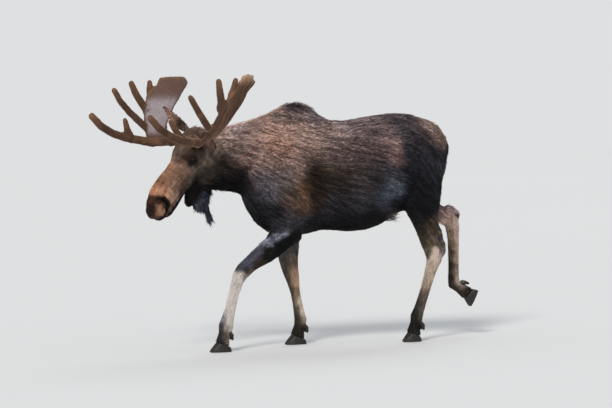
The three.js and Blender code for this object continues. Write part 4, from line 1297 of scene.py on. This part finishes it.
def tuft_points(roots, normals, lies, length, width, lift, draw):
    """The seven points of each tuft: two rings of three and a tip."""
    across = np.cross(normals, lies)
    sway = draw.normal(0, 0.16, (len(roots), 1))
    lies = unit(lies + across * sway)
    across = np.cross(normals, lies)
    bend = draw.normal(0, 0.10, (len(roots), 1)) * length[:, None]
    along, height = (length * np.cos(lift))[:, None], (length * np.sin(lift))[:, None]
    wide = width[:, None]
    base = roots - normals * ROOT_DEPTH
    middle = roots + lies * along * 0.48 + normals * height * 0.66 + across * bend * 0.3
    tip = roots + lies * along + normals * height + across * bend
    rows = []
    for centre, share, thick in ((base, 0.5, 0.42), (middle, 0.44, 0.30)):
        aside = across * wide * share
        rows += [centre - aside, centre + aside, centre + normals * wide * thick]
    return np.stack(rows + [tip], 1)


print("sizes vary with the place on the animal")

# %% The tone of a tuft
STRAND = 0.009  # m, how wide a streak of the coat is
spots_each_way = (np.array([3.3, 1.5, 2.3]) / STRAND).astype(int)
speckles = np.random.default_rng(77).normal(0, 1, spots_each_way).astype(np.float32)
speckles = Field(ORIGIN - np.array([1.7, 0.8, 0.0]), STRAND, speckles)


def streaks(roots, lies, reach):
    """A random number for each root that its neighbours up and down the lie share."""
    ways = np.linspace(-1, 1, 9) * reach
    total = sum(speckles.at(roots + lies * way) for way in ways)
    return total / total.std()


# Painted reflection: coat tufts are tinted a little blue for the sky that glossy hair reflects.
SKY_REFLECTION_TINT = np.array([1.0, 1.0, 1.05])  # glossy hair in the open takes a little blue
PALEST = 0.9  # no hair is brighter than this, so a bleached tip keeps its hue
BASE_SHADE, MIDDLE_SHADE, TIP_SHADE = 0.72, 1.15, 1.45


def tuft_shades(kind, roots, lies, colours, draw):
    """The colours of each tuft's seven points, darker at its base and paler at its tip."""
    _, length, _, _, spread, gain = TUFTS[kind]
    head, z = regions(roots)[0], body_lines(roots)[2]
    streak = spread * (0.85 + 0.15 * ease(z, 1350, 1600) * (1 - head))
    streak *= 1 + 0.8 * (1 - ease(colours.mean(1), 0.008, 0.03))
    lines = streaks(roots, lies, 1.4 * length / 1000)
    tone = 0.55 * draw.normal(0, 1, len(roots)) + 0.85 * lines
    tone = np.exp(streak * tone - 0.3 * streak**2).clip(0.3, 2.4)
    warm = draw.normal(0, 0.025, len(roots))[:, None] * np.array([1.0, 0.0, -1.0])
    tinted = gain * colours * tone[:, None] * (1 + warm)
    tinted *= SKY_REFLECTION_TINT if kind == "coat" else 1
    steps = np.repeat([BASE_SHADE, MIDDLE_SHADE, TIP_SHADE], [3, 3, 1])
    shades = tinted[:, None, :] * steps[None, :, None]
    return shades / np.maximum(shades.max(2, keepdims=True) / PALEST, 1)


print("streaks", STRAND * 1000, "mm wide")


# %% Grow the tufts
def build_tufts(kind):
    """All tufts of one kind, as pieces of a size that can be exported."""
    count = TUFTS[kind][0] // 1
    draw = np.random.default_rng(len(kind))
    index, share = grow(kind, count, len(kind))
    roots = mixed_on_skin(skin_points, index, share)
    normals = unit(mixed_on_skin(skin_normals, index, share))
    lies = along_skin(mixed_on_skin(skin_lie, index, share), normals)
    colours = mixed_on_skin(skin_colours, index, share)
    sizes = tuft_sizes(kind, roots, draw)
    points = tuft_points(roots, normals, lies, *sizes, draw)
    shades = tuft_shades(kind, roots, lies, colours, draw)
    chart = triangle_chart[index]
    place = np.stack(unwrap(roots, chart), 1)
    place = on_square(place[:, 0], place[:, 1], chart)
    low, high = place.min(0), place.max(0)
    place = 0.004 + (place - low) / (high - low) * 0.99
    order = draw.permutation(count)
    pieces = math.ceil(count / MOST_IN_PIECE)
    for number in range(pieces):
        own = np.sort(order[number::pieces])
        faces = (TUFT_CORNERS[None] + 7 * np.arange(len(own))[:, None, None]).reshape(-1, 3)
        name = f"{kind}_hair_{number + 1}"
        mesh = mesh_of(name, points[own].reshape(-1, 3), faces)
        paint(mesh, shades[own].reshape(-1, 3).clip(0.001, 0.95))
        spots = place[own][:, None, :] + PATCH_PLACES[None]
        unwrapped = spots.reshape(-1, 2)[faces.ravel()].astype(np.float32)
        mesh.uv_layers.new(name="OFBake").data.foreach_set("uv", unwrapped.ravel())
        mesh.materials.append({"coat": body_hair, "shank": leg_hair, "face": face_hair}[kind])
        add_piece(name, mesh)
    print(f"{count} tufts of {kind} in {pieces} pieces")


for kind in TUFTS:
    build_tufts(kind)

# %% [markdown]
# ## Antlers in velvet
#
# A growing antler is bone wrapped in living skin with a dense pile of hair two millimetres
# long. It has no sharp edge anywhere: the angles between the tines are webbed and the tips are
# blunt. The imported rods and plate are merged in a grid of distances, which webs and rounds them,
# and the palm gets its fluting from the vessels that run up it. The pile is too fine for
# geometry at this size, so it is a strong warm sheen and a bump.

# %% Antler material
VELVET_GRAIN = 1000 / 7  # per metre: clumps of pile 7 mm apart, coarser than the pile to show

velvet, tree, surface = add_material(
    "antler velvet", Roughness=0.85, Specular_IOR_Level=0.2,
    Sheen_Weight=1.0, Sheen_Roughness=0.3, Sheen_Tint=(*linear("e2bb9a"), 1))
_, pile = painted_grain(tree, surface, 0.22, VELVET_GRAIN, 4.0, 0.65)
relief = add_node(tree, "ShaderNodeBump", {"Height": pile.outputs["Fac"]},
                  Strength=0.6, Distance=0.003)
tree.links.new(relief.outputs["Normal"], surface.inputs["Normal"])
print("velvet with pile", round(1000 / VELVET_GRAIN), "mm apart")

# %% Antler shape
PALM_CENTRES = np.array(  # forward, outward and height of the palm's middle, half its width
    [(56, 286, 1600, 54), (-56, 390, 1745, 94), (-110, 424, 1855, 127), (-192, 443, 1970, 148),
     (-280, 452, 2050, 134), (-292, 460, 2112, 112)]
)
PALM_WAY = np.array([0.899, 0.438])  # the palm's width runs forward and outward
TINE_TIPS = np.array(  # forward, outward, height
    [(600, 361, 1836), (335, 274, 1796), (290, 470, 2040), (65, 541, 2090), (-118, 532, 2090)]
)
STALK_FROM, STALK_LONG, STALK_HIGH = 92, 46, 1620  # mm: from the head out to the burr
ANTLER_STEP = 0.004  # m
# bloom stands for a painted sky sheen, top for painted sunlight on the near palm, and rust also
# serves the painted rim light.
VELVET_COLOURS = {
    "brown": linear("523b2e"), "dark": linear("3f2c20"), "rust": linear("84604a"),
    "bloom": linear("a3979c"), "upper": linear("705850"), "top": linear("b4937c"),
}


def on_palm(points, side):
    """Places on the palm in mm: along its width, through its thickness, height, half width."""
    forward, outward, height = antler_lines(points, side)
    middle = [np.interp(height, PALM_CENTRES[:, 2], PALM_CENTRES[:, k]) for k in (0, 1, 3)]
    ahead, aside = forward - middle[0], outward - middle[1]
    across = ahead * PALM_WAY[0] + aside * PALM_WAY[1]
    through = aside * PALM_WAY[0] - ahead * PALM_WAY[1]
    return across, through, height, middle[2]


def velvet_colours(points, normals, side):
    """Chocolate brown and rustier tips, with painted light: rust-tan rims for sunlit pile, a
    grey-blue painted sky sheen on the hollow face of the palm, and a pale painted lit top on the
    near palm.
    """
    across, through, height, half = on_palm(points, side)
    forward, outward, _ = antler_lines(points, side)
    outer = normals @ (outward_of(side) * PALM_WAY[0] - HEAD_LEVEL * PALM_WAY[1])
    colours = np.tile(VELVET_COLOURS["brown"], (len(points), 1))

    def blend(name, share):
        colours[:] += np.clip(share, 0, 1)[:, None] * (VELVET_COLOURS[name] - colours)

    blend("dark", 0.5 * ease(slow_waves(points, 0.12, 41), 0.0, 0.9))
    tips = np.min([np.linalg.norm(np.stack([forward, outward, height], 1) - tip, axis=1)
                   for tip in TINE_TIPS], 0)
    rusty = 0.3 * ease(slow_waves(points, 0.09, 42), 0.2, 1)
    blend("rust", 0.45 * (1 - ease(tips, 20, 160)) + rusty)
    plate = (np.abs(across) < half + 6) & (np.abs(through) < 60)
    # Painted sheen: the hollow face of the palm is painted grey-blue where its pile would reflect
    # the sky.
    inner = plate * ease(-outer, 0.1, 0.6) * ease(height, 1640, 1720)
    inside = ease(half - np.abs(across), 4, 34)
    blend("bloom", inner * inside * (1 - ease(height, 1900, 2010)) * 0.92)
    stripes = 0.5 + 0.5 * np.cos(across * 2 * math.pi / 17 + 2 * slow_waves(points, 0.2, 43))
    blend("upper", inner * ease(height, 1900, 2010) * 0.8)
    blend("dark", inner * ease(height, 1850, 2000) * stripes * 0.3)
    # Painted rim light: the palm's top edge and outer sides are painted rust-tan for its sunlit
    # pile.
    rim = plate * ease(height, 2070, 2100) + plate * ease(height, 1850, 1950) * (1 - inside)
    blend("rust", np.clip(rim, 0, 1) * 0.6)
    # Painted light: the near palm's top is painted pale tan where the sun falls on it.
    if side == "left":
        blend("top", plate * ease(height, 2010, 2095) * 0.85)
    grain = 1 + 0.10 * slow_waves(points, 0.012, 44) + 0.08 * slow_waves(points, 0.03, 45)
    return colours * grain[:, None]


print("the palms are", 2 * PALM_CENTRES[:, 3].max(), "mm wide")

# %% Shape the antlers
def shape_antler(side):
    """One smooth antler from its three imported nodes."""
    names = [f"antler_{side}_{part}" for part in ("beam", "brow", "palm")]
    field = field_of(names, ANTLER_STEP, 0.012, 0.075).smoothed(0.0075)
    values = field.values - 0.001
    lattice = np.stack(np.meshgrid(*[np.arange(n) for n in values.shape], indexing="ij"), -1)
    spots = field.low + lattice.reshape(-1, 3) * ANTLER_STEP
    forward, outward, height = antler_lines(spots, side)
    share = np.clip((outward - STALK_FROM) / STALK_LONG, 0, 1)
    burr = 36 + 4 * share + 3 * np.exp(-(((outward - STALK_FROM - STALK_LONG) / 10) ** 2))
    off_line = np.hypot(forward + 12 * (1 - share), height - STALK_HIGH)
    stalk = np.hypot(off_line, outward - STALK_FROM - STALK_LONG * share)
    values = joined((stalk - burr) / 1000, values.ravel(), 0.014)
    near = np.flatnonzero(np.abs(values) < 0.022)
    spots = spots[near]
    across, through, height, half = on_palm(spots, side)
    palm = ease(height, 1840, 1950) * (1 - ease(np.abs(through), 30, 46))
    palm *= np.abs(across) < half + 25
    flutes = np.cos(across * 2 * math.pi / 36 + 1.5 * slow_waves(spots, 0.25, 31))
    swell = 1.2 * slow_waves(spots, 0.05, 32) + 0.7 * slow_waves(spots, 0.018, 33)
    distance = values[near] * 1000 - swell * 0.8 + 0.7 * flutes * palm
    top = 2108 - 5 * (across / 100) ** 2
    if side == "left":
        stout = ease(height, 1640, 1700) * (1 - ease(height, 1880, 1990))
        stout *= 1 - ease(np.abs(through), 45, 75)
        distance -= 10 * stout * (1 - ease(np.abs(across) - half, -10, 30))
        knob = np.cos(across * 2 * math.pi / 66)
        top = 2102 + 9 * knob - 22 * (across / 100) ** 2
        distance -= (3.5 + 4.5 * knob) * palm * ease(height, 1960, 2080)
    round_by = np.where(across > 0, 20, 44)
    beside, above = np.abs(across) - (half - round_by), height - (top - round_by)
    corner = np.hypot(np.maximum(beside, 0), np.maximum(above, 0)) - round_by
    on_top = palm * (height > 2000) > 0.3
    cut = np.where((beside > 0) & (above > 0), corner, height - top)
    distance = np.where(on_top & (above > 0), -joined(-distance, -cut, 12), distance)
    values[near] = distance / 1000
    places, triangles, quads = zero_surface(values.reshape(field.values.shape))
    mesh = mesh_of("antler_" + side, field.low + places * ANTLER_STEP, triangles, quads)
    points, normals = mesh_places(mesh)
    paint(mesh, velvet_colours(points, normals, side))
    mesh.materials.append(velvet)
    add_piece("antler_" + side, mesh, names)
    print("the", side, "antler has", len(quads) * 2 + len(triangles), "triangles")


for side in EYES:
    shape_antler(side)

# %% [markdown]
# ## Hooves
#
# Each foot has two pointed claws and, above and behind them, two small dewclaws: black keratin
# with fine rings of growth and a dull polish. The imported solids of one foot are rounded
# together on a fine grid.

# %% Hoof horn
RING_SCALE = 60.0  # rings of growth 5 mm apart, coarser than the real ones to show
horn, tree, surface = add_material("black hoof horn", Roughness=0.42)
place = add_node(tree, "ShaderNodeTexCoord")
rings = add_node(tree, "ShaderNodeTexWave", {"Vector": place.outputs["Object"]},
                 wave_type="BANDS", bands_direction="Z", Scale=RING_SCALE,
                 Distortion=3.0, Detail=2.0)
spots = add_node(tree, "ShaderNodeTexNoise", {"Vector": place.outputs["Object"]},
                 Scale=90.0, Detail=3.0)
tone = add_node(tree, "ShaderNodeMix", {0: spots.outputs["Fac"]}, data_type="RGBA")
tone.inputs["A"].default_value = (*linear("120f0d"), 1)
tone.inputs["B"].default_value = (*linear("28221d"), 1)
tree.links.new(tone.outputs["Result"], surface.inputs["Base Color"])
relief = add_node(tree, "ShaderNodeBump", {"Height": rings.outputs["Fac"]},
                  Strength=0.35, Distance=0.001)
tree.links.new(relief.outputs["Normal"], surface.inputs["Normal"])
print("horn")

# %% Shape the hooves
HOOF_STEP = 0.0025  # m


def shape_foot(foot):
    """The claws and dewclaws of one foot."""
    names = [f"hoof_{foot}_{part}_{side}" for part in ("claw", "dewclaw") for side in EYES]
    field = field_of(names, HOOF_STEP, 0.0, 0.02).smoothed(0.003)
    places, triangles, quads = zero_surface(field.values)
    mesh = mesh_of("hoof_" + foot, field.low + places * HOOF_STEP, triangles, quads)
    mesh.materials.append(horn)
    add_piece("hoof_" + foot, mesh, names)
    print("the", foot, "hoof has", len(quads) * 2 + len(triangles), "triangles")


for foot in ("fore_left", "fore_right", "hind_left", "hind_right"):
    shape_foot(foot)

# %% [markdown]
# ## Eyes
#
# A moose's eye is large, nearly black, with a chestnut iris and a pupil that lies level. The
# ball is one turned solid with the cornea swelling out of it; its colours are painted on the
# points and a clear wet film gives the single bright glint.

# %% The wet eye
wet_eye, tree, surface = add_material("wet eye", Roughness=0.12, IOR=1.376)
painted = add_node(tree, "ShaderNodeAttribute", attribute_name="fur")
tree.links.new(painted.outputs["Color"], surface.inputs["Base Color"])
BALL_RADIUS = 0.0218  # m, a little under the lids
IRIS, PUPIL, WHITE, RIM = (linear(c) for c in ("241509", "040303", "191210", "070504"))
print("an eyeball is", 2000 * BALL_RADIUS, "mm across")


# %% Shape the eyes
def shape_eye(side):
    """One eye, looking outward and a little forward."""
    look = unit(outward_of(side) + 0.28 * HEAD_LEVEL)
    level = unit(np.cross(UP, look))
    steep = np.cross(look, level)
    rings, spokes = 40, 56
    polar = np.linspace(0, math.pi, rings + 1)[1:-1]
    turn = np.arange(spokes) / spokes * 2 * math.pi
    bulge = 1 + 0.09 * (1 - ease(np.degrees(polar), 18, 42))
    ring = np.stack([np.outer(np.sin(polar) * bulge, np.cos(turn)),
                     np.outer(np.sin(polar) * bulge, np.sin(turn)),
                     np.outer(np.cos(polar) * bulge, np.ones(spokes))], -1).reshape(-1, 3)
    local = np.concatenate([ring, [[0, 0, 1.09], [0, 0, -1]]])
    points = EYES[side] + BALL_RADIUS * local @ np.array([level, steep, look])
    first = np.arange(rings - 2)[:, None] * spokes + np.arange(spokes)
    after = first - np.arange(spokes) + (np.arange(spokes) + 1) % spokes
    quads = np.stack([first, first + spokes, after + spokes, after], -1).reshape(-1, 4)
    front, back, last = len(ring), len(ring) + 1, (rings - 2) * spokes
    spoke, following = np.arange(spokes), (np.arange(spokes) + 1) % spokes
    caps = np.concatenate([
        np.stack([spoke, following, np.full(spokes, front)], 1),
        np.stack([following + last, spoke + last, np.full(spokes, back)], 1),
    ])
    mesh = mesh_of("eye_" + side, points, caps, quads)
    radius = np.hypot(local[:, 0], local[:, 1]) + 2 * (local[:, 2] < 0)
    slot_shape = np.hypot(local[:, 0] / 0.36, local[:, 1] / 0.2)
    colours = IRIS + ease(radius, 0.5, 0.6)[:, None] * (RIM - IRIS)
    colours = colours + ease(radius, 0.66, 0.78)[:, None] * (WHITE - colours)
    colours = PUPIL + ease(slot_shape + 3 * (radius > 1), 0.9, 1.15)[:, None] * (colours - PUPIL)
    paint(mesh, colours)
    mesh.materials.append(wet_eye)
    add_piece("eye_ball_" + side, mesh, ["eye_" + side])


for side in EYES:
    shape_eye(side)
print("two eyes")


# %% [markdown]
# ## Floor, light and the last lines
#
# The floor and the world behind it are a plain pale grey. The light is a soft studio sky with
# one wide lamp high on the viewer's side, weak enough that a colour comes out about as written.

# %% Floor and lights
FLOOR_HALF = 40  # m

floor_material, tree, surface = add_material("pale studio floor", Roughness=0.9)
speckle = add_node(tree, "ShaderNodeTexNoise", Scale=6.0, Detail=4.0)
ramp = add_node(tree, "ShaderNodeMapRange", {"Value": speckle.outputs["Fac"]},
                To_Min=0.77, To_Max=0.79)
tree.links.new(ramp.outputs["Result"], surface.inputs["Base Color"])
corners = np.array([(-1, -1, 0), (1, -1, 0), (1, 1, 0), (-1, 1, 0)]) * FLOOR_HALF
floor = bpy.data.objects.new("floor", mesh_of("floor", corners, np.array([[0, 1, 2, 3]])))
floor.data.materials.append(floor_material)
bpy.context.scene.collection.objects.link(floor)

world = bpy.data.worlds.new("studio")
bpy.context.scene.world = world
world.use_nodes = True
tree = world.node_tree
sky = tree.nodes["Background"]
sky.inputs["Color"].default_value = (0.93, 0.96, 1.0, 1)
sky.inputs["Strength"].default_value = 0.5
backdrop = add_node(tree, "ShaderNodeBackground", Color=(*linear("dfe0e1"), 1), Strength=1.0)
path = add_node(tree, "ShaderNodeLightPath")
seen = add_node(tree, "ShaderNodeMixShader",
                {0: path.outputs["Is Camera Ray"], 1: sky.outputs[0], 2: backdrop.outputs[0]})
tree.links.new(seen.outputs[0], tree.nodes["World Output"].inputs["Surface"])


def add_lamp(name, place, spread, strength, colour):
    """A far soft lamp, so that the floor is lit alike out to the horizon."""
    lamp = bpy.data.objects.new(name, bpy.data.lights.new(name, "SUN"))
    lamp.data.angle = math.radians(spread)
    lamp.data.energy = strength
    lamp.data.color = colour
    lamp.location = place
    aim = Vector((0.1, 0.1, 1.2)) - Vector(place)
    lamp.rotation_euler = aim.to_track_quat("-Z", "Y").to_euler()
    bpy.context.scene.collection.objects.link(lamp)


add_lamp("key", (-3.4, -6.6, 7.0), 16, 1.95, (1.0, 0.97, 0.92))
add_lamp("rim", (3.0, 5.0, 7.0), 34, 0.5, (0.92, 0.96, 1.0))
bpy.context.scene.view_settings.view_transform = "Standard"
print("floor, world and two lamps")
